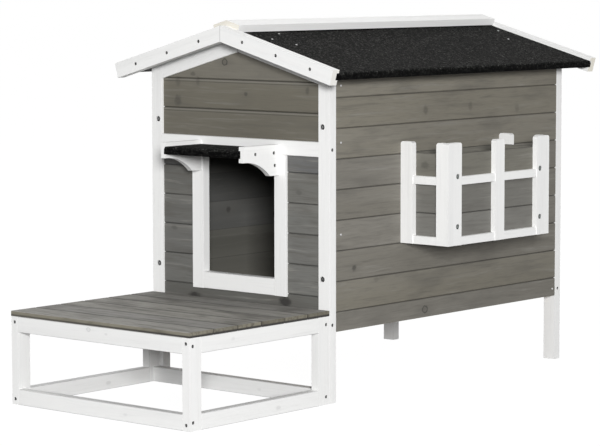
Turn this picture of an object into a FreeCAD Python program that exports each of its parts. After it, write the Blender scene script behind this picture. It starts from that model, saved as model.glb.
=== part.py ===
import FreeCAD, Part
import math
import os

from FreeCAD import Vector

# Timber cat house with a lift-up gable roof, a front terrace and a flower box.
# Millimetres. Working axes: X across the house from its middle, Y back from the
# front face of the front posts, Z up from the ground.

# House frame
HOUSE_WIDTH = 500.0
HOUSE_DEPTH = 820.0
POST_WIDTH = 30.0
POST_DEPTH = 22.0
EASED_EDGE = 1.0
WALL_BOTTOM = 147.0
FRAME_RAIL_DEPTH = 20.0
BOTTOM_RAIL_HEIGHT = 30.0
MID_RAIL_BOTTOM = 506.0
MID_RAIL_HEIGHT = 31.0
RAKE_RAIL_HEIGHT = 32.0
RAKE_APEX_HEIGHT = 716.3
BATTEN_WIDTH = 30.0
BATTEN_THICKNESS = 20.0

# Tongued wall boards
BOARD_THICKNESS = 12.0
BOARD_RECESS = 6.0
BOARD_V_CUT = 1.5
BOARD_SEAM_GAP = 1.2
TONGUE_THICKNESS = 4.0
TONGUE_DEPTH = 5.0
TONGUE_CLEARANCE = 0.2
SIDE_BOARD_PITCH = 62.85
SIDE_FIRST_SEAM = 187.0
FRONT_BOARD_PITCH = 63.2
FRONT_FIRST_SEAM = 217.5
GABLE_BOARD_PITCH = 63.0
GABLE_FIRST_SEAM = 594.0

# Floor of the cabin
FLOOR_THICKNESS = 12.0
FLOOR_BOARD_COUNT = 10
FLOOR_BOARD_GAP = 0.6
FLOOR_NOTCH_CLEARANCE = 0.5

# Door surround
DOOR_WIDTH = 200.0
STILE_WIDTH = 32.0
SILL_HEIGHT = 35.5
SILL_TOP = 247.5
DOOR_FRAME_DEPTH = 20.0

# Canopy over the door
CANOPY_REACH = 112.0
CANOPY_BOARD_THICKNESS = 12.0
CANOPY_BOARD_DROP = 23.0
CANOPY_FLAP_DROP = 1.5
BRACKET_THICKNESS = 12.0
BRACKET_SPACING = 207.0
BRACKET_DROP = 9.0
BRACKET_HEIGHT = 64.0
BRACKET_NOSE_HEIGHT = 33.0
BRACKET_NOSE_FLAT = 8.0
BRACKET_FOOT_DEPTH = 30.0
BRACKET_GROOVE_DEPTH = 4.0

# Roof
ROOF_PITCH = 15.5
EAVE_OVERHANG = 56.0
FRONT_OVERHANG = 55.0
REAR_OVERHANG = 52.0
PANEL_THICKNESS = 12.0
FELT_THICKNESS = 2.5
FELT_BEND_RADIUS = 8.0
BARGE_THICKNESS = 20.0
BARGE_WIDTH = 32.0
BARGE_PROUD = 7.0
BARGE_GROOVE_DEPTH = 6.0
GROOVE_CLEARANCE = 0.15
RIDGE_STRIP_WIDTH = 29.0
RIDGE_STRIP_THICKNESS = 15.0
RIDGE_FELT_WIDTH = 25.0
RIDGE_BEAM_WIDTH = 30.0
RIDGE_BEAM_HEIGHT = 35.0
RIDGE_BEAM_CLEARANCE = 4.0

# Roof hinges on the left wall
HINGE_LENGTH = 60.0
HINGE_LEAF_WIDTH = 28.0
HINGE_LEAF_THICKNESS = 2.0
HINGE_PIN_RADIUS = 2.0
HINGE_PIN_CLEARANCE = 0.05
HINGE_KNUCKLE_RADIUS = 3.5
HINGE_KNUCKLE_COUNT = 5
HINGE_CLEARANCE = 0.3
HINGE_INSET = 150.0
HINGE_SCREW_PITCH = 20.0
HINGE_SCREW_DROP = 17.0

# Terrace
TERRACE_DEPTH = 418.0
DECK_TOP = 193.0
DECK_THICKNESS = 11.0
DECK_BOARD_COUNT = 6
DECK_BOARD_GAP = 2.5
LEG_WIDTH = 20.0
LEG_DEPTH = 34.0
TERRACE_RAIL_HEIGHT = 32.0
TERRACE_RAIL_THICKNESS = 20.0

# Flower box on the right wall
BOX_DEPTH = 126.0
BOX_LENGTH = 360.0
BOX_START = 233.0
BOX_BOTTOM = 314.0
BOX_HEIGHT = 214.5
PICKET_THICKNESS = 12.0
PICKET_CORNER_RADIUS = 6.0
FRONT_PICKET_WIDTHS = (46.0, 31.5, 44.5)
SIDE_PICKET_REAR_WIDTH = 31.5
SIDE_PICKET_FRONT_WIDTH = 20.0
BOX_RAIL_HEIGHT = 17.0
BOX_RAIL_THICKNESS = 10.5
BOX_MID_RAIL_RISE = 126.0
TROUGH_BOARD_THICKNESS = 12.0
TROUGH_BOARD_PITCH = 63.0
TROUGH_BOARD_COUNT = 3
TROUGH_RISE = 1.5
TROUGH_FLOOR_RISE = 15.5
TROUGH_FLOOR_THICKNESS = 10.0
TROUGH_BATTEN_SIZE = 18.0
TROUGH_BATTEN_DROP = 20.0

# Fasteners
SCREW_HEAD_RADIUS = 3.4
SCREW_HEAD_HEIGHT = 1.8
SCREW_SHANK_RADIUS = 1.8
SCREW_LENGTH = 45.0
SCREW_SINK = 0.4
SCREW_BORE_CLEARANCE = 0.3
SCREW_TIP_COVER = 1.0
BOX_SCREW_LENGTH = 32.0
BOX_SCREW_HEAD_RADIUS = 5.6
POST_SCREW_HEAD_RADIUS = 5.6
POST_SCREW_SINK = 0.6
POST_SCREW_BORE_CLEARANCE = 0.5
SMALL_SCREW_HEAD_RADIUS = 3.0
SMALL_SCREW_HEAD_HEIGHT = 1.4
SMALL_SCREW_SHANK_RADIUS = 1.3
SMALL_SCREW_LENGTH = 9.0
NAIL_HEAD_RADIUS = 2.2
NAIL_HEAD_HEIGHT = 0.6
NAIL_SHANK_RADIUS = 0.9
NAIL_LENGTH = 20.0
FELT_NAIL_HEAD_RADIUS = 2.2
FELT_NAIL_HEAD_HEIGHT = 0.8
FELT_NAIL_SHANK_RADIUS = 1.1
FELT_NAIL_LENGTH = 10.0
CROSS_SLOT_WIDTH = 0.9
HOLE_CLEARANCE = 0.05
POST_SCREW_HEIGHTS = (256.0, 568.0)
POST_SCREW_INSET = 19.0
LEG_FRONT_SCREW_EDGE = 11.5
LEG_SIDE_SCREW_EDGE = 16.5
BARGE_SCREW_RUNS = (62.0, 157.0, 252.0)
BRACKET_SCREW_REACHES = (74.5, 17.2)
BRACKET_LOW_SCREW_REACH = 14.2
BRACKET_LOW_SCREW_RISE = 21.0
BOX_SCREW_RISES = (39.0, 144.0)
WALL_NAIL_BOARD_COUNTS = (1, 3, 6)
WALL_NAIL_FRONT_SHARES = (0.44, 0.54, 0.54)
WALL_NAIL_LEAST_SHARE = 0.3
WALL_NAIL_REAR_SHARE = 0.4
WALL_NAIL_REAR_INSET = 9.0
FELT_NAIL_FRONT_SPOTS = ((40.0, 118.0), (75.0, 58.0), (118.0, 87.0))
FELT_NAIL_REAR_SPOTS = ((67.0, 29.0), (131.0, 74.0))

# Derived places
HALF_WIDTH = HOUSE_WIDTH / 2.0
INNER_HALF = HALF_WIDTH - POST_WIDTH
SLOPE = math.tan(math.radians(ROOF_PITCH))
COS_PITCH = math.cos(math.radians(ROOF_PITCH))
SIN_PITCH = math.sin(math.radians(ROOF_PITCH))
UNDER_APEX = RAKE_APEX_HEIGHT + RAKE_RAIL_HEIGHT / COS_PITCH
BARGE_TOP = PANEL_THICKNESS + FELT_THICKNESS + BARGE_PROUD
BARGE_FOOT = BARGE_TOP - BARGE_WIDTH
EAVE_TIP = HALF_WIDTH + EAVE_OVERHANG
EAVE_RUN = (EAVE_TIP - BARGE_TOP * SIN_PITCH) / COS_PITCH
ROOF_FRONT = -FRONT_OVERHANG + BARGE_THICKNESS
ROOF_BACK = HOUSE_DEPTH + REAR_OVERHANG - BARGE_THICKNESS
MID_RAIL_TOP = MID_RAIL_BOTTOM + MID_RAIL_HEIGHT
BRACKET_TOP = MID_RAIL_TOP - BRACKET_DROP
CANOPY_BOARD_BOTTOM = BRACKET_TOP - CANOPY_BOARD_DROP
BOTTOM_RAIL_TOP = WALL_BOTTOM + BOTTOM_RAIL_HEIGHT
DOOR_HALF = DOOR_WIDTH / 2.0
STILE_OUTER = DOOR_HALF + STILE_WIDTH
SILL_BOTTOM = SILL_TOP - SILL_HEIGHT
WALL_INNER = HALF_WIDTH - BOARD_THICKNESS
BATTEN_INNER = WALL_INNER - BATTEN_THICKNESS
DECK_BOTTOM = DECK_TOP - DECK_THICKNESS
BOX_FRONT = HALF_WIDTH + BOX_DEPTH
BOX_END = BOX_START + BOX_LENGTH
ORIGIN_X = (BOX_FRONT - EAVE_TIP) / 2.0
ORIGIN_Y = (HOUSE_DEPTH + REAR_OVERHANG - TERRACE_DEPTH) / 2.0
HINGE_OFFSET = HINGE_KNUCKLE_RADIUS + HINGE_CLEARANCE
HINGE_X = -HALF_WIDTH - HINGE_OFFSET
HINGE_Z = UNDER_APEX + HINGE_X * SLOPE - HINGE_OFFSET / COS_PITCH
ABOVE_ALL = UNDER_APEX + HOUSE_WIDTH


# Basic solids

def box(x, y, z):
    """A block between three (low, high) pairs."""
    return Part.makeBox(x[1] - x[0], y[1] - y[0], z[1] - z[0], Vector(x[0], y[0], z[0]))


def runs_along(edge, axis):
    """Whether a straight edge lies along the axis of that index."""
    return round(abs(edge.tangentAt(edge.FirstParameter)[axis])) == 1


def timber(x, y, z):
    """A block whose four long edges are eased."""
    block = box(x, y, z)
    spans = [x[1] - x[0], y[1] - y[0], z[1] - z[0]]
    longest = spans.index(max(spans))
    return block.makeChamfer(EASED_EDGE, [edge for edge in block.Edges if runs_along(edge, longest)])


def prism(points, axis, low, high):
    """A closed outline with heights second, drawn out along the x or the y axis."""
    if axis == "x":
        corners = [Vector(low, first, second) for first, second in points]
        reach = Vector(high - low, 0, 0)
    else:
        corners = [Vector(first, low, second) for first, second in points]
        reach = Vector(0, high - low, 0)
    outline = Part.makePolygon(corners + corners[:1])
    return Part.Face(outline).extrude(reach)


def rod(radius, start, end):
    """A round bar between two points."""
    path = end.sub(start)
    return Part.makeCylinder(radius, path.Length, start, path)


def pieces(shape):
    """The separate solids of a shape, lowest first."""
    return sorted(shape.Solids, key=lambda solid: (round(solid.BoundBox.ZMin, 3), solid.BoundBox.XMin))


def rounded(solid, place, radius):
    """The solid with its edge nearest to a place rounded over."""
    edge = min(solid.Edges, key=lambda edge: edge.CenterOfMass.distanceToPoint(place))
    return solid.makeFillet(radius, [edge])


def mirrored(shape):
    """The same shape on the other side of the house."""
    return shape.mirror(Vector(0, 0, 0), Vector(1, 0, 0))


# Roof lines

def under_roof(x):
    """Height of the roof panels' underside."""
    return UNDER_APEX - abs(x) * SLOPE


def under_rake(x):
    """Height of the rake rails' lower edge."""
    return RAKE_APEX_HEIGHT - abs(x) * SLOPE


def on_slope(run, rise):
    """Point on the right slope: run down from the ridge, rise square above the panel's underside."""
    x = run * COS_PITCH + rise * SIN_PITCH
    z = UNDER_APEX - run * SLOPE * COS_PITCH + rise * COS_PITCH
    return (x, z)


def slope_layer(low, high, run_end, y0, y1):
    """A layer of the right slope with a plumb joint at the ridge and a square end."""
    outline = [on_slope(-low * SLOPE, low), on_slope(run_end, low)]
    outline += [on_slope(run_end, high), on_slope(-high * SLOPE, high)]
    return prism(outline, "y", y0, y1)


def eave_middle(run, rise):
    """Middle of an edge of the right slope that runs along the eave."""
    x, z = on_slope(run, rise)
    return Vector(x, (ROOF_FRONT + ROOF_BACK) / 2.0, z)


def above_roof():
    """All the space above the panels' underside."""
    far = 2.0 * HOUSE_WIDTH
    outline = [(-far, under_roof(far)), (0.0, UNDER_APEX), (far, under_roof(far))]
    outline += [(far, ABOVE_ALL), (-far, ABOVE_ALL)]
    return prism(outline, "y", -HOUSE_DEPTH, 2.0 * HOUSE_DEPTH)


# Boards

def board_outline(low, high, outer, inner, grooved, tongued):
    """Section of one board as (depth, height) points from its outer face to its inner one.

    A grooved board's outer lip stops the seam gap short of the board below; its inner lip sits on it.
    """
    way = 1.0 if inner > outer else -1.0
    middle = (outer + inner) / 2.0
    half = TONGUE_THICKNESS / 2.0
    slack = half + TONGUE_CLEARANCE
    cut = BOARD_V_CUT
    lip = low + BOARD_SEAM_GAP
    outline = [(outer, low)]
    if grooved:
        depth = TONGUE_DEPTH + TONGUE_CLEARANCE
        outline = [(outer, lip + cut), (outer + way * cut, lip), (middle - way * slack, lip)]
        outline += [(middle - way * slack, low + depth), (middle + way * slack, low + depth)]
        outline += [(middle + way * slack, low)]
    outline.append((inner, low))
    outline.append((inner, high))
    if tongued:
        outline += [(middle + way * half, high), (middle + way * half, high + TONGUE_DEPTH)]
        outline += [(middle - way * half, high + TONGUE_DEPTH), (middle - way * half, high)]
        outline += [(outer + way * cut, high), (outer, high - cut)]
    else:
        outline.append((outer, high))
    return outline


def boards(seams, outer, inner, axis, start, end):
    """A stack of boards between the listed seam heights, running along an axis."""
    stack = []
    last = len(seams) - 2
    for index in range(last + 1):
        outline = board_outline(seams[index], seams[index + 1], outer, inner, index > 0, index < last)
        stack.append(prism(outline, axis, start, end))
    return stack


def seam_heights(bottom, first, pitch, top):
    """Seams from the bottom edge to the top edge, a pitch apart."""
    heights = [bottom]
    seam = first
    while seam < top:
        heights.append(seam)
        seam += pitch
    return heights + [top]


# House

def build_frame(nodes):
    front = (0.0, POST_DEPTH)
    rear = (HOUSE_DEPTH - POST_DEPTH, HOUSE_DEPTH)
    sky = above_roof()
    right = (INNER_HALF, HALF_WIDTH)
    for place, depth in (("front", front), ("rear", rear)):
        post = timber(right, depth, (0.0, UNDER_APEX)).cut(sky)
        nodes["post_" + place + "_right"] = [post]
        nodes["post_" + place + "_left"] = [mirrored(post)]
    across = (-INNER_HALF, INNER_HALF)
    front_rail = (0.0, FRAME_RAIL_DEPTH)
    rear_rail = (HOUSE_DEPTH - FRAME_RAIL_DEPTH, HOUSE_DEPTH)
    nodes["front_mid_rail"] = [timber(across, front_rail, (MID_RAIL_BOTTOM, MID_RAIL_TOP))]
    nodes["front_bottom_rail"] = [timber(across, front_rail, (WALL_BOTTOM, BOTTOM_RAIL_TOP))]
    nodes["rear_bottom_rail"] = [timber(across, rear_rail, (WALL_BOTTOM, BOTTOM_RAIL_TOP))]
    rake = [(0.0, RAKE_APEX_HEIGHT), (INNER_HALF, under_rake(INNER_HALF))]
    rake += [(INNER_HALF, under_roof(INNER_HALF)), (0.0, UNDER_APEX)]
    for place, depth in (("front", front_rail), ("rear", rear_rail)):
        rail = prism(rake, "y", *depth)
        nodes[place + "_rake_rails"] = [mirrored(rail), rail]


def build_walls(nodes):
    sky = above_roof()
    side_top = under_roof(WALL_INNER)
    seams = seam_heights(WALL_BOTTOM, SIDE_FIRST_SEAM, SIDE_BOARD_PITCH, side_top)
    wall = boards(seams, HALF_WIDTH, WALL_INNER, "y", POST_DEPTH, HOUSE_DEPTH - POST_DEPTH)
    wall = [board.cut(sky) for board in wall]
    nodes["right_wall_boards"] = wall
    nodes["left_wall_boards"] = [mirrored(board) for board in wall]

    inside = (BATTEN_INNER, WALL_INNER)
    front_end = (POST_DEPTH, POST_DEPTH + BATTEN_WIDTH)
    rear_end = (HOUSE_DEPTH - POST_DEPTH - BATTEN_WIDTH, HOUSE_DEPTH - POST_DEPTH)
    between = (front_end[1], rear_end[0])
    framing = [timber(inside, front_end, (WALL_BOTTOM, UNDER_APEX)).cut(sky)]
    framing.append(timber(inside, rear_end, (WALL_BOTTOM, UNDER_APEX)).cut(sky))
    framing.append(timber(inside, between, (WALL_BOTTOM, BOTTOM_RAIL_TOP)))
    top_rail = (under_roof(WALL_INNER) - BATTEN_WIDTH, under_roof(BATTEN_INNER))
    framing.append(box(inside, between, top_rail).cut(sky))
    nodes["right_wall_framing"] = framing
    nodes["left_wall_framing"] = [mirrored(piece) for piece in framing]

    front = (BOARD_RECESS, BOARD_RECESS + BOARD_THICKNESS)
    seams = seam_heights(BOTTOM_RAIL_TOP, FRONT_FIRST_SEAM, FRONT_BOARD_PITCH, MID_RAIL_BOTTOM)
    doorway = box((-STILE_OUTER, STILE_OUTER), (-FRAME_RAIL_DEPTH, POST_DEPTH), (SILL_BOTTOM, MID_RAIL_TOP))
    lower = []
    for board in boards(seams, *front, "x", -INNER_HALF, INNER_HALF):
        lower += pieces(board.cut(doorway))
    nodes["front_wall_boards"] = lower

    gable = [(-INNER_HALF, MID_RAIL_TOP), (INNER_HALF, MID_RAIL_TOP), (INNER_HALF, under_rake(INNER_HALF))]
    gable += [(0.0, RAKE_APEX_HEIGHT), (-INNER_HALF, under_rake(INNER_HALF))]
    field = prism(gable, "y", 0.0, FRAME_RAIL_DEPTH)
    seams = seam_heights(MID_RAIL_TOP, GABLE_FIRST_SEAM, GABLE_BOARD_PITCH, RAKE_APEX_HEIGHT)
    stack = boards(seams, *front, "x", -INNER_HALF, INNER_HALF)
    nodes["front_gable_boards"] = [board.common(field) for board in stack]

    rear = (HOUSE_DEPTH - BOARD_RECESS, HOUSE_DEPTH - BOARD_RECESS - BOARD_THICKNESS)
    gable[0] = (-INNER_HALF, BOTTOM_RAIL_TOP)
    gable[1] = (INNER_HALF, BOTTOM_RAIL_TOP)
    field = prism(gable, "y", HOUSE_DEPTH - FRAME_RAIL_DEPTH, HOUSE_DEPTH)
    second_seam = SIDE_FIRST_SEAM + SIDE_BOARD_PITCH
    seams = seam_heights(BOTTOM_RAIL_TOP, second_seam, SIDE_BOARD_PITCH, RAKE_APEX_HEIGHT)
    stack = boards(seams, *rear, "x", -INNER_HALF, INNER_HALF)
    nodes["rear_wall_boards"] = [board.common(field) for board in stack]


def build_floor(nodes):
    start = FRAME_RAIL_DEPTH
    end = HOUSE_DEPTH - FRAME_RAIL_DEPTH
    pitch = (end - start) / FLOOR_BOARD_COUNT
    height = (BOTTOM_RAIL_TOP, BOTTOM_RAIL_TOP + FLOOR_THICKNESS)
    reach = POST_DEPTH + BATTEN_WIDTH + FLOOR_NOTCH_CLEARANCE
    corner = (BATTEN_INNER - FLOOR_NOTCH_CLEARANCE, HALF_WIDTH)
    notch = box(corner, (0.0, reach), height).fuse(box(corner, (HOUSE_DEPTH - reach, HOUSE_DEPTH), height))
    notch = notch.fuse(mirrored(notch))
    floor = []
    for index in range(FLOOR_BOARD_COUNT):
        low = start + index * pitch
        depth = (low + FLOOR_BOARD_GAP / 2.0, low + pitch - FLOOR_BOARD_GAP / 2.0)
        floor.append(box((-WALL_INNER, WALL_INNER), depth, height).cut(notch))
    nodes["floor_boards"] = floor


def build_door(nodes):
    depth = (0.0, DOOR_FRAME_DEPTH)
    stile = timber((DOOR_HALF, STILE_OUTER), depth, (SILL_BOTTOM, MID_RAIL_BOTTOM))
    nodes["door_stile_right"] = [stile]
    nodes["door_stile_left"] = [mirrored(stile)]
    nodes["door_sill"] = [timber((-DOOR_HALF, DOOR_HALF), depth, (SILL_BOTTOM, SILL_TOP))]


def bracket_outline():
    """Side view of a canopy bracket: square nose, hollow underside and a foot on the stile."""
    foot = BRACKET_TOP - BRACKET_HEIGHT
    nose = BRACKET_TOP - BRACKET_NOSE_HEIGHT
    start = Vector(0, -CANOPY_REACH + BRACKET_NOSE_FLAT, nose)
    end = Vector(0, -BRACKET_FOOT_DEPTH, foot)
    half_turn = math.atan2(start.z - end.z, end.y - start.y)
    radius = (end.y - start.y) / math.sin(2.0 * half_turn)
    rise = radius * (1.0 - math.cos(half_turn))
    middle = Vector(0, start.y + radius * math.sin(half_turn), nose - rise)
    corners = [end, Vector(0, 0, foot), Vector(0, 0, BRACKET_TOP), Vector(0, -CANOPY_REACH, BRACKET_TOP)]
    corners += [Vector(0, -CANOPY_REACH, nose), start]
    edges = [Part.LineSegment(corners[i], corners[i + 1]).toShape() for i in range(len(corners) - 1)]
    return Part.Wire(edges + [Part.Arc(start, middle, end).toShape()])


def build_canopy(nodes):
    inner = BRACKET_SPACING / 2.0
    board_top = CANOPY_BOARD_BOTTOM + CANOPY_BOARD_THICKNESS
    flap_bottom = CANOPY_BOARD_BOTTOM - CANOPY_FLAP_DROP
    felt_top = board_top + FELT_THICKNESS
    end = inner + BRACKET_GROOVE_DEPTH - GROOVE_CLEARANCE
    face = Part.Face(bracket_outline())
    face.translate(Vector(inner, 0, 0))
    bracket = face.extrude(Vector(BRACKET_THICKNESS, 0, 0))
    groove = box((inner, inner + BRACKET_GROOVE_DEPTH), (-2.0 * CANOPY_REACH, 0.0),
                 (flap_bottom - GROOVE_CLEARANCE, felt_top + GROOVE_CLEARANCE))
    bracket = bracket.cut(groove)
    nodes["canopy_bracket_right"] = [bracket]
    nodes["canopy_bracket_left"] = [mirrored(bracket)]
    board_front = -CANOPY_REACH + FELT_THICKNESS
    board = box((-end, end), (board_front, 0.0), (CANOPY_BOARD_BOTTOM, board_top))
    board = rounded(board, Vector(0, board_front, board_top), FELT_BEND_RADIUS - FELT_THICKNESS)
    section = [(0.0, CANOPY_BOARD_BOTTOM), (0.0, felt_top), (-CANOPY_REACH, felt_top)]
    section += [(-CANOPY_REACH, flap_bottom), (board_front, flap_bottom), (board_front, CANOPY_BOARD_BOTTOM)]
    cover = rounded(prism(section, "x", -end, end), Vector(0, -CANOPY_REACH, felt_top), FELT_BEND_RADIUS)
    nodes["canopy_board"] = [board]
    nodes["canopy_felt"] = [cover.cut(board)]


# Roof

def build_roof(nodes):
    tuck = BARGE_GROOVE_DEPTH - GROOVE_CLEARANCE
    felt_top = PANEL_THICKNESS + FELT_THICKNESS
    start = ROOF_FRONT - tuck
    end = ROOF_BACK + tuck
    panel_run = EAVE_RUN - FELT_THICKNESS
    panel = slope_layer(0.0, PANEL_THICKNESS, panel_run, start, end)
    panel = rounded(panel, eave_middle(panel_run, PANEL_THICKNESS), FELT_BEND_RADIUS - FELT_THICKNESS)
    cover = slope_layer(0.0, felt_top, EAVE_RUN, start, end)
    cover = rounded(cover, eave_middle(EAVE_RUN, felt_top), FELT_BEND_RADIUS)
    felt = cover.cut(panel).removeSplitter()
    groove_low = -GROOVE_CLEARANCE
    groove_high = felt_top + GROOVE_CLEARANCE
    groove = slope_layer(groove_low, groove_high, 2.0 * EAVE_RUN, ROOF_FRONT - BARGE_GROOVE_DEPTH,
                         ROOF_BACK + BARGE_GROOVE_DEPTH)
    pairs = {"roof_panel": panel, "roof_felt": felt}
    for place, y0 in (("front", -FRONT_OVERHANG), ("rear", ROOF_BACK)):
        barge = slope_layer(BARGE_FOOT, BARGE_TOP, EAVE_RUN, y0, y0 + BARGE_THICKNESS)
        pairs["bargeboard_" + place] = barge.cut(groove)
    strip_low = felt_top + FELT_THICKNESS
    strip_high = strip_low + RIDGE_STRIP_THICKNESS
    pairs["ridge_strip"] = slope_layer(strip_low, strip_high, RIDGE_STRIP_WIDTH, ROOF_FRONT, ROOF_BACK)
    for name, shape in pairs.items():
        nodes[name + "_left"] = [mirrored(shape)]
        nodes[name + "_right"] = [shape]
    cap = slope_layer(felt_top, strip_low, RIDGE_FELT_WIDTH, ROOF_FRONT, ROOF_BACK)
    nodes["ridge_felt"] = [cap.fuse(mirrored(cap)).removeSplitter()]
    half = RIDGE_BEAM_WIDTH / 2.0
    foot = UNDER_APEX - RIDGE_BEAM_HEIGHT
    beam = [(-half, foot), (half, foot), (half, under_roof(half))]
    beam += [(0.0, UNDER_APEX), (-half, under_roof(half))]
    clear = FRAME_RAIL_DEPTH + RIDGE_BEAM_CLEARANCE
    nodes["ridge_beam"] = [prism(beam, "y", clear, HOUSE_DEPTH - clear)]


def hinge_rod(radius, low, high):
    """A round bar on the hinge line between two depths."""
    return rod(radius, Vector(HINGE_X, low, HINGE_Z), Vector(HINGE_X, high, HINGE_Z))


def hinge_leaf(plate, middle, own, other):
    """One leaf: a plate, its knuckles and room for the knuckles of the other leaf."""
    pitch = HINGE_LENGTH / HINGE_KNUCKLE_COUNT
    start = middle - HINGE_LENGTH / 2.0
    half_gap = HINGE_CLEARANCE / 2.0
    leaf = plate
    for index in range(HINGE_KNUCKLE_COUNT):
        low = start + index * pitch
        high = low + pitch
        if index in own:
            leaf = leaf.fuse(hinge_rod(HINGE_KNUCKLE_RADIUS, low + half_gap, high - half_gap))
        if index in other:
            leaf = leaf.cut(hinge_rod(HINGE_OFFSET, low - half_gap, high + half_gap))
    bore = hinge_rod(HINGE_PIN_RADIUS + HINGE_PIN_CLEARANCE, start - pitch, start + HINGE_LENGTH + pitch)
    return leaf.cut(bore).removeSplitter()


def build_hinges(nodes):
    wall_leaves = []
    roof_leaves = []
    pins = []
    fixed = range(0, HINGE_KNUCKLE_COUNT, 2)
    moving = range(1, HINGE_KNUCKLE_COUNT, 2)
    run = -HINGE_X / COS_PITCH - HINGE_OFFSET * SLOPE
    for middle in (HINGE_INSET, HOUSE_DEPTH - HINGE_INSET):
        along = (middle - HINGE_LENGTH / 2.0, middle + HINGE_LENGTH / 2.0)
        outer = -HALF_WIDTH - HINGE_LEAF_THICKNESS
        plate = box((outer, -HALF_WIDTH), along, (HINGE_Z - HINGE_LEAF_WIDTH, HINGE_Z))
        wall_leaves.append(hinge_leaf(plate, middle, fixed, moving))
        end = run + HINGE_LEAF_WIDTH
        outline = [on_slope(run, 0.0), on_slope(end, 0.0)]
        outline += [on_slope(end, -HINGE_LEAF_THICKNESS), on_slope(run, -HINGE_LEAF_THICKNESS)]
        plate = mirrored(prism(outline, "y", *along))
        roof_leaves.append(hinge_leaf(plate, middle, moving, fixed))
        pins.append(hinge_rod(HINGE_PIN_RADIUS, *along))
    nodes["hinge_wall_leaves"] = wall_leaves
    nodes["hinge_roof_leaves"] = roof_leaves
    nodes["hinge_pins"] = pins


# Terrace

def build_terrace(nodes):
    front = (-TERRACE_DEPTH, -TERRACE_DEPTH + LEG_DEPTH)
    rear = (-LEG_DEPTH, 0.0)
    right = (HALF_WIDTH - LEG_WIDTH, HALF_WIDTH)
    for place, depth in (("front", front), ("rear", rear)):
        leg = timber(right, depth, (0.0, DECK_BOTTOM))
        nodes["terrace_leg_" + place + "_right"] = [leg]
        nodes["terrace_leg_" + place + "_left"] = [mirrored(leg)]
    heights = ((0.0, TERRACE_RAIL_HEIGHT), (DECK_BOTTOM - TERRACE_RAIL_HEIGHT, DECK_BOTTOM))
    across = (-right[0], right[0])
    front_rail = (-TERRACE_DEPTH, -TERRACE_DEPTH + TERRACE_RAIL_THICKNESS)
    rear_rail = (-TERRACE_RAIL_THICKNESS, 0.0)
    nodes["terrace_front_rails"] = [timber(across, front_rail, height) for height in heights]
    nodes["terrace_rear_rails"] = [timber(across, rear_rail, height) for height in heights]
    side = (HALF_WIDTH - TERRACE_RAIL_THICKNESS, HALF_WIDTH)
    side_rails = [timber(side, (front[1], rear[0]), height) for height in heights]
    nodes["terrace_right_rails"] = side_rails
    nodes["terrace_left_rails"] = [mirrored(rail) for rail in side_rails]
    pitch = (TERRACE_DEPTH + DECK_BOARD_GAP) / DECK_BOARD_COUNT
    deck = []
    for index in range(DECK_BOARD_COUNT):
        low = -TERRACE_DEPTH + index * pitch
        depth = (low, low + pitch - DECK_BOARD_GAP)
        deck.append(timber((-HALF_WIDTH, HALF_WIDTH), depth, (DECK_BOTTOM, DECK_TOP)))
    nodes["deck_boards"] = deck


# Flower box

def picket(x, y, across):
    """A flat upright with rounded top corners, wide along the named axis."""
    top = BOX_BOTTOM + BOX_HEIGHT
    upright = box(x, y, (BOX_BOTTOM, top))
    thin = 1 if across == "x" else 0
    corners = []
    for edge in upright.Edges:
        at_top = edge.CenterOfMass.z > top - PICKET_CORNER_RADIUS
        if at_top and runs_along(edge, thin):
            corners.append(edge)
    return upright.makeFillet(PICKET_CORNER_RADIUS, corners)


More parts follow.
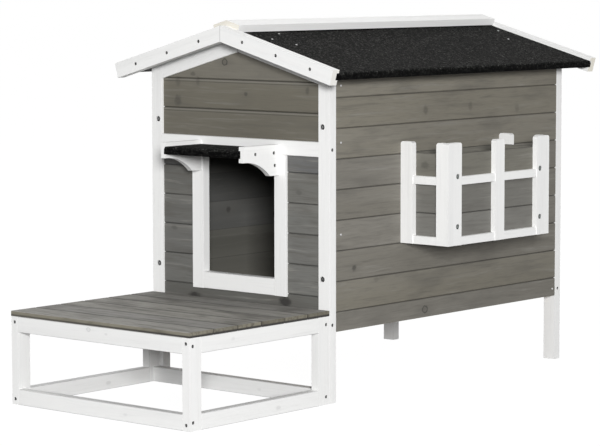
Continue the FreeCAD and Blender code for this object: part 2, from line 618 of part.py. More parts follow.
def build_flower_box(nodes):
    face = (BOX_FRONT - PICKET_THICKNESS, BOX_FRONT)
    left_width, mid_width, right_width = FRONT_PICKET_WIDTHS
    gap = (BOX_LENGTH - left_width - mid_width - right_width) / 2.0
    left_end = BOX_START + left_width
    mid = (left_end + gap, left_end + gap + mid_width)
    fronts = [(BOX_START, left_end), mid, (mid[1] + gap, BOX_END)]
    pickets = [picket(face, along, "y") for along in fronts]
    rails = []
    rail_bottoms = (BOX_BOTTOM, BOX_BOTTOM + BOX_MID_RAIL_RISE)
    rail_heights = [(bottom, bottom + BOX_RAIL_HEIGHT) for bottom in rail_bottoms]
    rail_face = (face[0], face[0] + BOX_RAIL_THICKNESS)
    for height in rail_heights:
        rails.append(box(rail_face, (fronts[0][1], fronts[1][0]), height))
        rails.append(box(rail_face, (fronts[1][1], fronts[2][0]), height))

    rear = (HALF_WIDTH, HALF_WIDTH + SIDE_PICKET_REAR_WIDTH)
    fore = (face[0] - SIDE_PICKET_FRONT_WIDTH, face[0])
    near = (BOX_START, BOX_START + PICKET_THICKNESS)
    far = (BOX_END - PICKET_THICKNESS, BOX_END)
    near_rail = (near[1] - BOX_RAIL_THICKNESS, near[1])
    far_rail = (far[0], far[0] + BOX_RAIL_THICKNESS)
    for depth, rail_depth in ((near, near_rail), (far, far_rail)):
        pickets.append(picket(rear, depth, "x"))
        pickets.append(picket(fore, depth, "x"))
        for height in rail_heights:
            rails.append(box((rear[1], fore[0]), rail_depth, height))
    nodes["planter_pickets"] = pickets
    nodes["planter_rails"] = rails

    low = BOX_BOTTOM + TROUGH_RISE
    top = low + TROUGH_BOARD_COUNT * TROUGH_BOARD_PITCH
    seams = [low + index * TROUGH_BOARD_PITCH for index in range(TROUGH_BOARD_COUNT)] + [top]
    thick = TROUGH_BOARD_THICKNESS
    inside = (near[1], far[0])
    back = (HALF_WIDTH, HALF_WIDTH + thick)
    front = (face[0], face[0] - thick)
    trough = boards(seams, *front, "y", *inside)
    trough += boards(seams, *back, "y", *inside)
    trough += boards(seams, inside[0], inside[0] + thick, "x", back[1], front[1])
    trough += boards(seams, inside[1], inside[1] - thick, "x", back[1], front[1])
    floor = (low + TROUGH_FLOOR_RISE, low + TROUGH_FLOOR_RISE + TROUGH_FLOOR_THICKNESS)
    trough.append(box((back[1], front[1]), (inside[0] + thick, inside[1] - thick), floor))
    nodes["planter_trough_boards"] = trough
    size = TROUGH_BATTEN_SIZE
    fore_batten = (front[1] - size, front[1])
    near_batten = (inside[0] + thick, inside[0] + thick + size)
    far_batten = (inside[1] - thick - size, inside[1] - thick)
    rise = (floor[1], top - TROUGH_BATTEN_DROP)
    nodes["planter_corner_battens"] = [box(fore_batten, along, rise) for along in (near_batten, far_batten)]


# Fasteners

class Fastener:
    """A screw or nail: a domed head over a round shank, placed at (point, outward direction) sites.

    With a bore clearance the head is let into a counterbore, its crown the sink below the surface.
    """

    SHOULDER_RADIUS_SHARE = 0.9
    SHOULDER_HEIGHT_SHARE = 0.55
    SLOT_REACH_SHARE = 0.55
    SLOT_FLOOR_SHARE = 0.45

    def __init__(self, head_radius, head_height, shank_radius, length, slotted, bore_clearance=0.0, sink=0.0):
        seat = -(head_height + sink) if bore_clearance > 0.0 else 0.0
        tip = Vector(0, 0, seat - length)
        crown = Vector(0, 0, seat + head_height)
        shoulder_radius = head_radius * self.SHOULDER_RADIUS_SHARE
        shoulder = Vector(shoulder_radius, 0, seat + head_height * self.SHOULDER_HEIGHT_SHARE)
        corners = [tip, Vector(shank_radius, 0, tip.z), Vector(shank_radius, 0, seat)]
        corners += [Vector(head_radius, 0, seat), shoulder]
        dome_rise = crown.z - shoulder.z
        dome_radius = (shoulder_radius ** 2 + dome_rise ** 2) / (2.0 * dome_rise)
        half_turn = math.asin(shoulder_radius / dome_radius) / 2.0
        drop = dome_radius * (1.0 - math.cos(half_turn))
        dome = Vector(dome_radius * math.sin(half_turn), 0, crown.z - drop)
        outline = [Part.LineSegment(low, high).toShape() for low, high in zip(corners[:-1], corners[1:])]
        outline.append(Part.Arc(shoulder, dome, crown).toShape())
        outline.append(Part.LineSegment(crown, tip).toShape())
        self.shape = Part.Face(Part.Wire(outline)).revolve(Vector(0, 0, 0), Vector(0, 0, 1), 360)
        if slotted:
            arm = head_radius * self.SLOT_REACH_SHARE
            half = CROSS_SLOT_WIDTH / 2.0
            depth = (seat + head_height * self.SLOT_FLOOR_SHARE, seat + 2.0 * head_height)
            cross = box((-arm, arm), (-half, half), depth).fuse(box((-half, half), (-arm, arm), depth))
            self.shape = self.shape.cut(cross).Solids[0]
        above = Vector(0, 0, HOLE_CLEARANCE)
        self.hole = rod(shank_radius + HOLE_CLEARANCE, above, tip.sub(above))
        if bore_clearance > 0.0:
            self.hole = self.hole.fuse(rod(head_radius + bore_clearance, above, Vector(0, 0, seat)))

    def place(self, shape, site):
        point, outward = site
        moved = shape.copy()
        moved.Placement = FreeCAD.Placement(point, FreeCAD.Rotation(Vector(0, 0, 1), outward))
        return moved

    def set_in(self, nodes, name, sites, hosts):
        """Add one fastener at each site and bore its hole in the solids of the host nodes."""
        nodes.setdefault(name, []).extend(self.place(self.shape, site) for site in sites)
        for hole in [self.place(self.hole, site) for site in sites]:
            for host in hosts:
                solids = nodes[host]
                for index, solid in enumerate(solids):
                    if solid.BoundBox.intersect(hole.BoundBox):
                        solids[index] = solid.cut(hole)


def both_sides(sites):
    """Each site and its mirror image across the house."""
    pairs = []
    for point, outward in sites:
        pairs.append((point, outward))
        pairs.append((Vector(-point.x, point.y, point.z), Vector(-outward.x, outward.y, outward.z)))
    return pairs


def post_screw_sites():
    post_line = HALF_WIDTH - POST_SCREW_INSET
    sites = []
    for height in POST_SCREW_HEIGHTS:
        sites.append((Vector(post_line, 0, height), Vector(0, -1, 0)))
        sites.append((Vector(post_line, HOUSE_DEPTH, height), Vector(0, 1, 0)))
    return both_sides(sites)


def rail_screw_sites():
    sites = []
    rail_middle = FRAME_RAIL_DEPTH / 2.0
    low = WALL_BOTTOM + BOTTOM_RAIL_HEIGHT / 2.0
    middle = MID_RAIL_BOTTOM + MID_RAIL_HEIGHT / 2.0
    for depth, height in ((rail_middle, low), (rail_middle, middle), (HOUSE_DEPTH - rail_middle, low)):
        sites.append((Vector(HALF_WIDTH, depth, height), Vector(1, 0, 0)))
    leg_x = HALF_WIDTH - LEG_WIDTH / 2.0
    rail_depths = (-TERRACE_DEPTH + TERRACE_RAIL_THICKNESS / 2.0, -TERRACE_RAIL_THICKNESS / 2.0)
    for height in (LEG_FRONT_SCREW_EDGE, DECK_BOTTOM - LEG_FRONT_SCREW_EDGE):
        sites.append((Vector(leg_x, -TERRACE_DEPTH, height), Vector(0, -1, 0)))
    for height in (LEG_SIDE_SCREW_EDGE, DECK_BOTTOM - LEG_SIDE_SCREW_EDGE):
        for depth in rail_depths:
            sites.append((Vector(HALF_WIDTH, depth, height), Vector(1, 0, 0)))
    return both_sides(sites)


def bargeboard_screw_sites():
    sites = []
    for run in BARGE_SCREW_RUNS:
        x, z = on_slope(run, (BARGE_TOP + BARGE_FOOT) / 2.0)
        sites.append((Vector(x, -FRONT_OVERHANG, z), Vector(0, -1, 0)))
        sites.append((Vector(x, HOUSE_DEPTH + REAR_OVERHANG, z), Vector(0, 1, 0)))
    return both_sides(sites)


def canopy_screw_sites():
    face = BRACKET_SPACING / 2.0 + BRACKET_THICKNESS
    level = CANOPY_BOARD_BOTTOM + CANOPY_BOARD_THICKNESS / 2.0
    sites = [(Vector(face, -reach, level), Vector(1, 0, 0)) for reach in BRACKET_SCREW_REACHES]
    return both_sides(sites)


def bracket_foot_screw_sites():
    face = BRACKET_SPACING / 2.0 + BRACKET_THICKNESS
    height = BRACKET_TOP - BRACKET_HEIGHT + BRACKET_LOW_SCREW_RISE
    return both_sides([(Vector(face, -BRACKET_LOW_SCREW_REACH, height), Vector(1, 0, 0))])


def planter_screw_sites():
    edge = PICKET_THICKNESS + TROUGH_BOARD_THICKNESS + TROUGH_BATTEN_SIZE / 2.0
    sites = []
    for depth in (BOX_START + edge, BOX_END - edge):
        for rise in BOX_SCREW_RISES:
            sites.append((Vector(BOX_FRONT, depth, BOX_BOTTOM + rise), Vector(1, 0, 0)))
    return sites


def wall_nail_sites():
    """Front nails in boards counted down from the eave, and a rear one in the lowest board.

    A strip too narrow for a nail is not counted.
    """
    seams = seam_heights(WALL_BOTTOM, SIDE_FIRST_SEAM, SIDE_BOARD_PITCH, under_roof(WALL_INNER))
    narrow = WALL_NAIL_LEAST_SHARE * SIDE_BOARD_PITCH
    nailed = [(low, high) for low, high in zip(seams, seams[1:]) if high - low > narrow]
    front = POST_DEPTH + BATTEN_WIDTH / 2.0
    rear = HOUSE_DEPTH - POST_DEPTH - WALL_NAIL_REAR_INSET
    spots = [(rear, nailed[0], WALL_NAIL_REAR_SHARE)]
    for count, share in zip(WALL_NAIL_BOARD_COUNTS, WALL_NAIL_FRONT_SHARES):
        spots.append((front, nailed[-count], share))
    sites = []
    for depth, (low, high), share in spots:
        sites.append((Vector(HALF_WIDTH, depth, low + share * (high - low)), Vector(1, 0, 0)))
    return both_sides(sites)


def felt_nail_sites():
    outward = Vector(SIN_PITCH, 0, COS_PITCH)
    spots = [(run, ROOF_FRONT + inset) for run, inset in FELT_NAIL_FRONT_SPOTS]
    spots += [(run, ROOF_BACK - inset) for run, inset in FELT_NAIL_REAR_SPOTS]
    sites = []
    for run, depth in spots:
        x, z = on_slope(run, PANEL_THICKNESS + FELT_THICKNESS)
        sites.append((Vector(x, depth, z), outward))
    return both_sides(sites)


def hinge_screw_sites():
    run = -HINGE_X / COS_PITCH - HINGE_OFFSET * SLOPE + HINGE_SCREW_DROP
    x, z = on_slope(run, -HINGE_LEAF_THICKNESS)
    outer = -HALF_WIDTH - HINGE_LEAF_THICKNESS
    wall = []
    roof = []
    for middle in (HINGE_INSET, HOUSE_DEPTH - HINGE_INSET):
        for step in (-1, 0, 1):
            depth = middle + step * HINGE_SCREW_PITCH
            wall.append((Vector(outer, depth, HINGE_Z - HINGE_SCREW_DROP), Vector(-1, 0, 0)))
            roof.append((Vector(-x, depth, z), Vector(SIN_PITCH, 0, -COS_PITCH)))
    return wall, roof


def wood_screw(length, head_radius=SCREW_HEAD_RADIUS, bore_clearance=SCREW_BORE_CLEARANCE, sink=SCREW_SINK):
    """A cross-slotted screw let into the wood."""
    return Fastener(head_radius, SCREW_HEAD_HEIGHT, SCREW_SHANK_RADIUS, length, True, bore_clearance, sink)


def build_fasteners(nodes):
    screw = wood_screw(SCREW_LENGTH)
    post_screw = wood_screw(SCREW_LENGTH, POST_SCREW_HEAD_RADIUS, POST_SCREW_BORE_CLEARANCE, POST_SCREW_SINK)
    small = Fastener(SMALL_SCREW_HEAD_RADIUS, SMALL_SCREW_HEAD_HEIGHT, SMALL_SCREW_SHANK_RADIUS,
                     SMALL_SCREW_LENGTH, True)
    nail = Fastener(NAIL_HEAD_RADIUS, NAIL_HEAD_HEIGHT, NAIL_SHANK_RADIUS, NAIL_LENGTH, False)
    clout = Fastener(FELT_NAIL_HEAD_RADIUS, FELT_NAIL_HEAD_HEIGHT, FELT_NAIL_SHANK_RADIUS,
                     FELT_NAIL_LENGTH, False)
    sides = [side + part for side in ("left", "right") for part in ("_wall_boards", "_wall_framing")]
    posts = [name for name in nodes if name.startswith("post_")]
    post_screw.set_in(nodes, "frame_screws", post_screw_sites(), posts + sides)
    frame_hosts = [name for name in nodes if name.startswith("terrace_") or name.endswith("_rail")]
    screw.set_in(nodes, "frame_screws", rail_screw_sites(), posts + frame_hosts)
    barges = [name for name in nodes if name.startswith(("bargeboard_", "roof_"))]
    screw.set_in(nodes, "bargeboard_screws", bargeboard_screw_sites(), barges)
    brackets = ["canopy_bracket_left", "canopy_bracket_right", "canopy_board"]
    screw.set_in(nodes, "canopy_screws", canopy_screw_sites(), brackets)
    foot_length = BRACKET_THICKNESS - SCREW_HEAD_HEIGHT - SCREW_SINK - SCREW_TIP_COVER
    wood_screw(foot_length).set_in(nodes, "canopy_screws", bracket_foot_screw_sites(), brackets)
    box_hosts = ["planter_pickets", "planter_trough_boards", "planter_corner_battens"]
    box_screw = wood_screw(BOX_SCREW_LENGTH, BOX_SCREW_HEAD_RADIUS)
    box_screw.set_in(nodes, "planter_screws", planter_screw_sites(), box_hosts)
    nail.set_in(nodes, "wall_nails", wall_nail_sites(), sides)
    slopes = ["roof_felt_left", "roof_felt_right", "roof_panel_left", "roof_panel_right"]
    clout.set_in(nodes, "felt_nails", felt_nail_sites(), slopes)
    wall, roof = hinge_screw_sites()
    small.set_in(nodes, "hinge_wall_screws", wall, ["hinge_wall_leaves"] + sides)
    small.set_in(nodes, "hinge_roof_screws", roof, ["hinge_roof_leaves", "roof_panel_left"])


def main():
    nodes = {}
    build_frame(nodes)
    build_walls(nodes)
    build_floor(nodes)
    build_door(nodes)
    build_canopy(nodes)
    build_roof(nodes)
    build_hinges(nodes)
    build_terrace(nodes)
    build_flower_box(nodes)
    build_fasteners(nodes)
    os.makedirs("parts", exist_ok=True)
    for name, solids in nodes.items():
        separate = [solid for shape in solids for solid in shape.Solids]
        node = Part.makeCompound(separate) if len(separate) > 1 else separate[0].copy()
        node.translate(Vector(-ORIGIN_X, -ORIGIN_Y, 0))
        node.exportStep(os.path.join("parts", name + ".step"))
    print(len(nodes), "nodes; hinge axis at", round(HINGE_X - ORIGIN_X, 3), round(HINGE_Z, 3))


main()
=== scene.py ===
"""Finishes, floor, light and camera for a timber cat house with a lift-up roof."""

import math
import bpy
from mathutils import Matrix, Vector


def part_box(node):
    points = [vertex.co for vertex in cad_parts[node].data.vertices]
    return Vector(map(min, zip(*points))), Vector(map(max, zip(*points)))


bl_info = {
    "name": "Cat house finishes",
    "version": (1, 0, 0),
    "blender": (4, 5, 0),
    "location": "View3D > Sidebar > Cat house",
    "description": "Paint, stain, felt and hardware finishes for a timber cat house, with its stage",
    "category": "Material",
}

from typing import NamedTuple

import bmesh
import bpy
from bpy.props import FloatProperty, FloatVectorProperty, PointerProperty
from mathutils import Matrix, Vector

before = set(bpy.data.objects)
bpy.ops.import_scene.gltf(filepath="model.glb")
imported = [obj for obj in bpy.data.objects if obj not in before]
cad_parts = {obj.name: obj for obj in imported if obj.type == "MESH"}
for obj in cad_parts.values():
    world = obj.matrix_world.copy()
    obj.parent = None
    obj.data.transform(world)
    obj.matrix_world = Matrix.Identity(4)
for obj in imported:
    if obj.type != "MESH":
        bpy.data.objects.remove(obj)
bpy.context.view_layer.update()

# Places that the finishes follow, in metres
ROOF_PITCH = math.radians(15.5)
HOUSE_MIDDLE = (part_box("left_wall_boards")[0].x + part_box("right_wall_boards")[1].x) / 2.0
DECK_LOW, DECK_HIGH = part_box("deck_boards")
DECK_BOARD_COUNT = 6
DECK_BOARD_GAP = 0.0025
DECK_PITCH = (DECK_HIGH.y - DECK_LOW.y + DECK_BOARD_GAP) / DECK_BOARD_COUNT

# Stacks of boards: place of the first seam and distance between seams
SIDE_SEAMS = (0.187, 0.06285)
FRONT_SEAMS = (0.2175, 0.0632)
GABLE_SEAMS = (0.594, 0.063)
TROUGH_SEAMS = (0.3155, 0.063)
DECK_SEAMS = (DECK_LOW.y - DECK_BOARD_GAP / 2.0, DECK_PITCH)
# Height of the painted highlight under the gable's seams, where the chamfer faces up to the light
GABLE_LIT_SHOULDER = 0.006

# Grain: cycles per metre along and across a timber
GRAIN_ALONG = 5.0
GRAIN_ACROSS = 110.0
DECK_GRAIN_ACROSS = 34.0
PAINT_ALONG = 9.0
PAINT_ACROSS = 260.0

# How far apart two pieces take their grain from the same pattern
PAINT_SEED = 7.0
BOARD_SEED = 9.0
WOOD_SEED = 5.0

# Deck: where the shading of its seams begins behind the front edge, the heights above its underside between
# which the painted shadow line along its lower edge begins, that shadow's strength at the left end, and the
# deck's share of the difference in hue between boards
DECK_LIP = (0.01, 0.02)
DECK_SHADOW_LINE = (0.0055, 0.003)
DECK_SHADOW_LINE_LEFT = 0.7
DECK_WARMTH = 0.4

# Joint of the sloping timbers under the ridge: half widths where it begins and where it is darkest
RIDGE_JOINT = (0.0014, 0.0003)

# Knots: (place along the board, place across it, half length, half height, darkness, share of ring)
SIDE_KNOTS = (
    (0.0903, 0.1639, 0.010, 0.0085, 0.9, 1.0),
    (-0.1475, 0.274, 0.008, 0.007, 0.8, 0.0),
    (0.0907, 0.5905, 0.009, 0.011, 0.45, 0.0),
    (0.2486, 0.5916, 0.008, 0.012, 0.35, 0.0),
    (0.4202, 0.5805, 0.009, 0.010, 0.3, 0.0),
    (-0.0749, 0.2434, 0.010, 0.006, 0.25, 0.0),
)
GABLE_KNOTS = (
    (-0.077, 0.694, 0.0085, 0.0075, 1.0, 1.0),
    (-0.1687, 0.6669, 0.009, 0.005, 0.5, 0.0),
    (-0.1543, 0.652, 0.006, 0.012, 0.35, 0.0),
    (-0.2124, 0.65, 0.008, 0.012, 0.35, 0.0),
    (-0.2127, 0.6091, 0.012, 0.013, 0.55, 0.0),
    (-0.0179, 0.6283, 0.006, 0.005, 0.65, 0.0),
    (0.1511, 0.6398, 0.006, 0.009, 0.5, 0.0),
)
FRONT_KNOTS = (
    (-0.166, 0.1935, 0.021, 0.0085, 1.0, 0.0),
    (-0.168, 0.1945, 0.012, 0.0065, 1.7, 0.0),
    (0.0898, 0.2005, 0.019, 0.0115, 1.3, 0.0),
    (-0.225, 0.335, 0.009, 0.006, 0.4, 0.0),
    (0.128, 0.43, 0.010, 0.006, 0.35, 0.0),
)
TROUGH_KNOTS = ((0.2702, 0.4793, 0.012, 0.009, 0.45, 0.0), (0.115, 0.39, 0.009, 0.012, 0.4, 0.0))
REAR_KNOTS = (
    (-0.12, 0.31, 0.010, 0.008, 0.8, 1.0),
    (0.06, 0.47, 0.009, 0.007, 0.6, 0.0),
    (0.11, 0.24, 0.009, 0.006, 0.5, 0.0),
)
INNER_KNOTS = ((0.0041, 0.3553, 0.008, 0.008, 0.8, 0.0),)
RAIL_KNOTS = (
    (-0.0606, 0.1742, 0.006, 0.004, 0.4, 1.0),
    (-0.0115, 0.1695, 0.005, 0.003, 0.2, 0.0),
    (0.04, 0.014, 0.007, 0.004, 0.15, 0.0),
)
SIDE_RAIL_KNOTS = ((-0.3859, 0.0131, 0.009, 0.005, 0.25, 0.0), (-0.52, 0.168, 0.006, 0.004, 0.15, 0.0))

# White timbers by the way that their grain runs
WHITE_UPRIGHT = (
    "post_front_left", "post_front_right", "post_rear_left", "post_rear_right",
    "door_stile_left", "door_stile_right", "planter_pickets",
    "terrace_leg_front_left", "terrace_leg_front_right",
    "terrace_leg_rear_left", "terrace_leg_rear_right",
)
WHITE_ACROSS = ("front_mid_rail", "door_sill", "terrace_front_rails", "terrace_rear_rails")
WHITE_ALONG = (
    "terrace_left_rails", "terrace_right_rails", "planter_rails",
    "canopy_bracket_left", "canopy_bracket_right",
)
WHITE_SLOPING = ("front_rake_rails", "rear_rake_rails", "bargeboard_front_left", "bargeboard_front_right")
WHITE_REAR = ("bargeboard_rear_left", "bargeboard_rear_right")
WHITE_RIDGE = ("ridge_strip_left", "ridge_strip_right")


class Boards(NamedTuple):
    """Boards that take the grey stain alike.

    Colour names a setting, and outside the one for the faces that look to the left, where it differs. Runs is
    the axis of the grain, followed by another one for faces that look sideways. Lively scales how much the
    boards and their grain differ; seam is how dark the seams are, and the height given for the shoulders is
    that of the painted highlight under a seam, where its chamfer faces up to the light; the upward and onward
    shares paint the top and the far end lighter, and darker where they are negative: painted light and shade
    over the stack; flat boards lie side by side with olive edges.
    """

    nodes: tuple
    colour: str
    seams: tuple
    runs: str
    knots: tuple = ()
    lively: float = 1.0
    seam: float = 0.5
    shoulder: float = 0.0
    # Shares of painted light and shade towards the top and the far end of a stack
    lit_upward: float = 0.0
    lit_onward: float = 0.0
    outside: str = ""
    flat: bool = False


# Grey boards by the name of their finish; the upward and onward shares paint light and shade over a stack
WALLS = {
    "grey_stain_right": Boards(
        ("right_wall_boards",), "wall_colour", SIDE_SEAMS, "y", SIDE_KNOTS,
        lively=1.2, seam=0.45, lit_upward=0.1, lit_onward=-0.05),
    # The left wall's inside is painted far darker than its outside and darker still towards the top: painted
    # shade of the inside of the house
    "grey_stain_left": Boards(
        ("left_wall_boards",), "inner_colour", SIDE_SEAMS, "y", INNER_KNOTS,
        lively=0.35, lit_upward=-0.6, outside="wall_colour"),
    "grey_stain_rear": Boards(
        ("rear_wall_boards", "rear_bottom_rail"), "wall_colour", SIDE_SEAMS, "x", REAR_KNOTS,
        lively=1.2, seam=0.45, lit_upward=0.1),
    "grey_stain_front": Boards(
        ("front_wall_boards", "front_bottom_rail"), "front_colour", FRONT_SEAMS, "x", FRONT_KNOTS,
        lively=2.0, lit_upward=0.03, lit_onward=0.1),
    "grey_stain_gable": Boards(
        ("front_gable_boards",), "gable_colour", GABLE_SEAMS, "x", GABLE_KNOTS,
        lively=0.75, seam=0.7, shoulder=GABLE_LIT_SHOULDER, lit_upward=0.09),
    "grey_stain_trough": Boards(
        ("planter_trough_boards",), "trough_colour", TROUGH_SEAMS, "xy", TROUGH_KNOTS, lively=1.2),
}
DECK = Boards(("deck_boards",), "deck_colour", DECK_SEAMS, "x", lively=2.4, seam=0.75, flat=True)

# Floor: how white the camera sees it, how much of that in place of its shaded surface, and how far it lies
# under the feet, in metres
FLOOR_WHITE = 1.2
FLOOR_SHARE = 0.82
FLOOR_DROP = 0.0005

# Lamps: length of the sides, place and the point aimed at, in metres
KEY_LAMP = (1.8, (7.29, -7.55, 2.37), (0.0, 0.0, 0.4))
TOP_LAMP = (2.4, (0.3, -0.3, 3.6), (0.0, 0.0, 0.3))
FILL_LAMP = (2.4, (-2.6, 3.0, 2.2), (0.0, 0.0, 0.4))

WHITE = (1.0, 1.0, 1.0, 1.0)


# Shader building blocks

def put(tree, socket, value):
    """Set an input to a value, or link it to another node's output."""
    if isinstance(value, bpy.types.NodeSocket):
        tree.links.new(value, socket)
    else:
        socket.default_value = value


def add_node(tree, kind, inputs=None, **settings):
    """A new node with its settings and inputs."""
    made = tree.nodes.new(kind)
    for name, value in settings.items():
        setattr(made, name, value)
    for key, value in (inputs or {}).items():
        put(tree, made.inputs[key], value)
    return made


def calc(tree, operation, first, second=0.0, clamp=False):
    """The result of a sum on one or two numbers."""
    made = add_node(tree, "ShaderNodeMath", {0: first, 1: second}, operation=operation, use_clamp=clamp)
    return made.outputs[0]


def times(tree, first, second):
    """Two numbers multiplied."""
    return calc(tree, "MULTIPLY", first, second)


def vector_calc(tree, operation, first, second=(0.0, 0.0, 0.0)):
    """The result of a sum on one or two vectors."""
    made = add_node(tree, "ShaderNodeVectorMath", {0: first, 1: second}, operation=operation)
    return made.outputs["Value" if operation == "DOT_PRODUCT" else "Vector"]


def scaled(tree, vector, value):
    """A colour or a place times a number."""
    made = add_node(tree, "ShaderNodeVectorMath", {0: vector, "Scale": value}, operation="SCALE")
    return made.outputs["Vector"]


def parts_of(tree, vector):
    """The three parts of a place or a direction."""
    return add_node(tree, "ShaderNodeSeparateXYZ", {0: vector}).outputs


def joined(tree, x, y, z):
    """A place or a direction from its three parts."""
    return add_node(tree, "ShaderNodeCombineXYZ", {"X": x, "Y": y, "Z": z}).outputs[0]


def ramp(tree, value, start, end, low, high, how="LINEAR"):
    """A change from low at start to high at end, straight unless said otherwise."""
    made = add_node(tree, "ShaderNodeMapRange", {
        "Value": value, "From Min": start, "From Max": end, "To Min": low, "To Max": high},
        interpolation_type=how)
    return made.outputs["Result"]


def ease(tree, value, start, end):
    """A smooth step from 0 at start to 1 at end."""
    return ramp(tree, value, start, end, 0.0, 1.0, "SMOOTHSTEP")


def spread(tree, value, low, high):
    """A 0 to 1 value stretched between low and high."""
    return ramp(tree, value, 0.0, 1.0, low, high)


def blend_colour(tree, factor, first, second, how="MIX"):
    """Two colours mixed by a factor."""
    made = add_node(tree, "ShaderNodeMix", {0: factor, 6: first, 7: second}, data_type="RGBA", blend_type=how)
    return made.outputs[2]


def overlay(tree, colour, mask, strength, tone, how="MIX"):
    """A colour with a tone laid over it where a mask says, at a strength from 0 to 1."""
    return blend_colour(tree, times(tree, mask, strength), colour, tone, how)


def noise(tree, place, scale, detail, roughness=0.5, distortion=0.0):
    """The outputs of a smooth random pattern."""
    made = add_node(tree, "ShaderNodeTexNoise", {
        "Vector": place, "Scale": scale, "Detail": detail, "Roughness": roughness, "Distortion": distortion})
    return made.outputs


def new_group(name, vectors, numbers, masks):
    """An empty shader group that turns vectors and numbers into masks, with both its ends."""
    group = bpy.data.node_groups.new(name, "ShaderNodeTree")
    ends = (("INPUT", "Vector", vectors), ("INPUT", "Float", numbers), ("OUTPUT", "Float", masks))
    for end, kind, sockets in ends:
        for socket in sockets:
            group.interface.new_socket(name=socket, in_out=end, socket_type="NodeSocket" + kind)
    entry = group.nodes.new("NodeGroupInput")
    exit_node = group.nodes.new("NodeGroupOutput")
    return group, entry.outputs, exit_node.inputs


def place_group(tree, name, inputs):
    """A shared group placed in a tree with its own values; gives its outputs."""
    return add_node(tree, "ShaderNodeGroup", inputs, node_tree=shared_group(name)).outputs


def squareness(tree, normal):
    """How squarely a face looks along one of the axes: 1 on a flat face and less round an edge or a dome."""
    parts = parts_of(tree, vector_calc(tree, "ABSOLUTE", normal))
    return calc(tree, "MAXIMUM", calc(tree, "MAXIMUM", parts["X"], parts["Y"]), parts["Z"])


def opaque(colour):
    """A colour setting with its alpha."""
    return (*colour, 1.0)


# Shared effects

def make_timber_grain():
    """Long streaks and fine fibres that run along a timber, and patches that took more or less colour."""
    group, given, result = new_group(
        "Timber grain", ("Point", "Stretch"), ("Seed",), ("Streak", "Fibre", "Cloud", "Mottle"))
    seed = given["Seed"]
    place = vector_calc(group, "ADD", given["Point"], joined(group, seed, seed, seed))
    sway = scaled(group, noise(group, place, 14.0, 1.0)["Color"], 0.006)
    place = vector_calc(group, "ADD", place, sway)
    drawn = vector_calc(group, "MULTIPLY", place, given["Stretch"])
    patches = vector_calc(group, "ADD", scaled(group, place, 5.0), scaled(group, drawn, 0.14))
    patterns = {
        "Streak": noise(group, drawn, 1.0, 3.0, roughness=0.6, distortion=0.4),
        "Fibre": noise(group, drawn, 4.0, 2.0, roughness=0.6),
        "Cloud": noise(group, drawn, 0.16, 2.0),
        "Mottle": noise(group, patches, 1.0, 3.0),
    }
    for name, made in patterns.items():
        group.links.new(made["Fac"], result[name])
    return group


def make_board_tint():
    """Random numbers for each board of a stack, and the distance below the board's upper seam."""
    group, given, result = new_group(
        "Board tint", (), ("Height", "First seam", "Pitch", "Seed"), ("Tint", "Hue", "Below"))
    above = calc(group, "SUBTRACT", given["Height"], given["First seam"])
    count = calc(group, "FLOOR", calc(group, "DIVIDE", above, given["Pitch"]))
    number = calc(group, "ADD", count, given["Seed"])
    drawn = add_node(group, "ShaderNodeTexWhiteNoise", {"W": number}, noise_dimensions="1D")
    group.links.new(drawn.outputs["Value"], result["Tint"])
    parts = add_node(group, "ShaderNodeSeparateColor", {"Color": drawn.outputs["Color"]})
    group.links.new(parts.outputs["Green"], result["Hue"])
    top = times(group, calc(group, "ADD", count, 1.0), given["Pitch"])
    group.links.new(calc(group, "SUBTRACT", top, above), result["Below"])
    return group


def make_seam_lines():
    """The dark line at a seam, the painted highlight below it where the board's chamfer faces up to the
    light, and the fine line under that highlight.
    """
    group, given, result = new_group(
        "Seam lines", (), ("Below", "Pitch", "Line", "Shoulder"), ("Dark", "Pale"))
    rest = calc(group, "SUBTRACT", given["Pitch"], given["Below"])
    line = ease(group, calc(group, "MINIMUM", given["Below"], rest), given["Line"], 0.0)
    low = calc(group, "SUBTRACT", given["Below"], given["Shoulder"])
    under = ease(group, calc(group, "ABSOLUTE", low), given["Line"], 0.0)
    group.links.new(calc(group, "MAXIMUM", line, times(group, under, 0.8)), result["Dark"])
    # Pale: a painted highlight below the seam, where the chamfer faces up to the light
    middle = times(group, given["Shoulder"], 0.5)
    away = calc(group, "ABSOLUTE", calc(group, "SUBTRACT", given["Below"], middle))
    group.links.new(ease(group, away, middle, 0.0), result["Pale"])
    return group


def make_knot():
    """One knot: its dark heart with or without a ring, and the halo drawn out along the grain."""
    group, given, result = new_group(
        "Knot", (),
        ("Along", "Across", "Knot along", "Knot across", "Half length", "Half height", "Darkness", "Ring"),
        ("Heart", "Halo"))
    along = calc(group, "SUBTRACT", given["Along"], given["Knot along"])
    across = calc(group, "SUBTRACT", given["Across"], given["Knot across"])
    ragged = noise(group, joined(group, along, across, given["Knot along"]), 150.0, 2.0)["Fac"]
    along = calc(group, "DIVIDE", along, given["Half length"])
    across = calc(group, "DIVIDE", across, given["Half height"])
    drawn = times(group, along, 0.45)
    across_square = times(group, across, across)
    near = calc(group, "SQRT", calc(group, "ADD", times(group, along, along), across_square))
    far = calc(group, "SQRT", calc(group, "ADD", times(group, drawn, drawn), across_square))
    near = calc(group, "ADD", near, spread(group, ragged, -0.35, 0.35))
    core = ease(group, near, 1.2, 0.4)
    rim = calc(group, "SUBTRACT", 1.0, calc(group, "ABSOLUTE", calc(group, "SUBTRACT", near, 0.8)))
    rim = times(group, ease(group, rim, 0.65, 1.0), given["Ring"])
    hollow = calc(group, "SUBTRACT", 1.0, times(group, given["Ring"], 0.7))
    heart = calc(group, "MAXIMUM", times(group, core, hollow), rim)
    group.links.new(times(group, heart, given["Darkness"]), result["Heart"])
    halo = ease(group, far, 2.2, 0.4)
    group.links.new(times(group, halo, given["Darkness"]), result["Halo"])
    return group


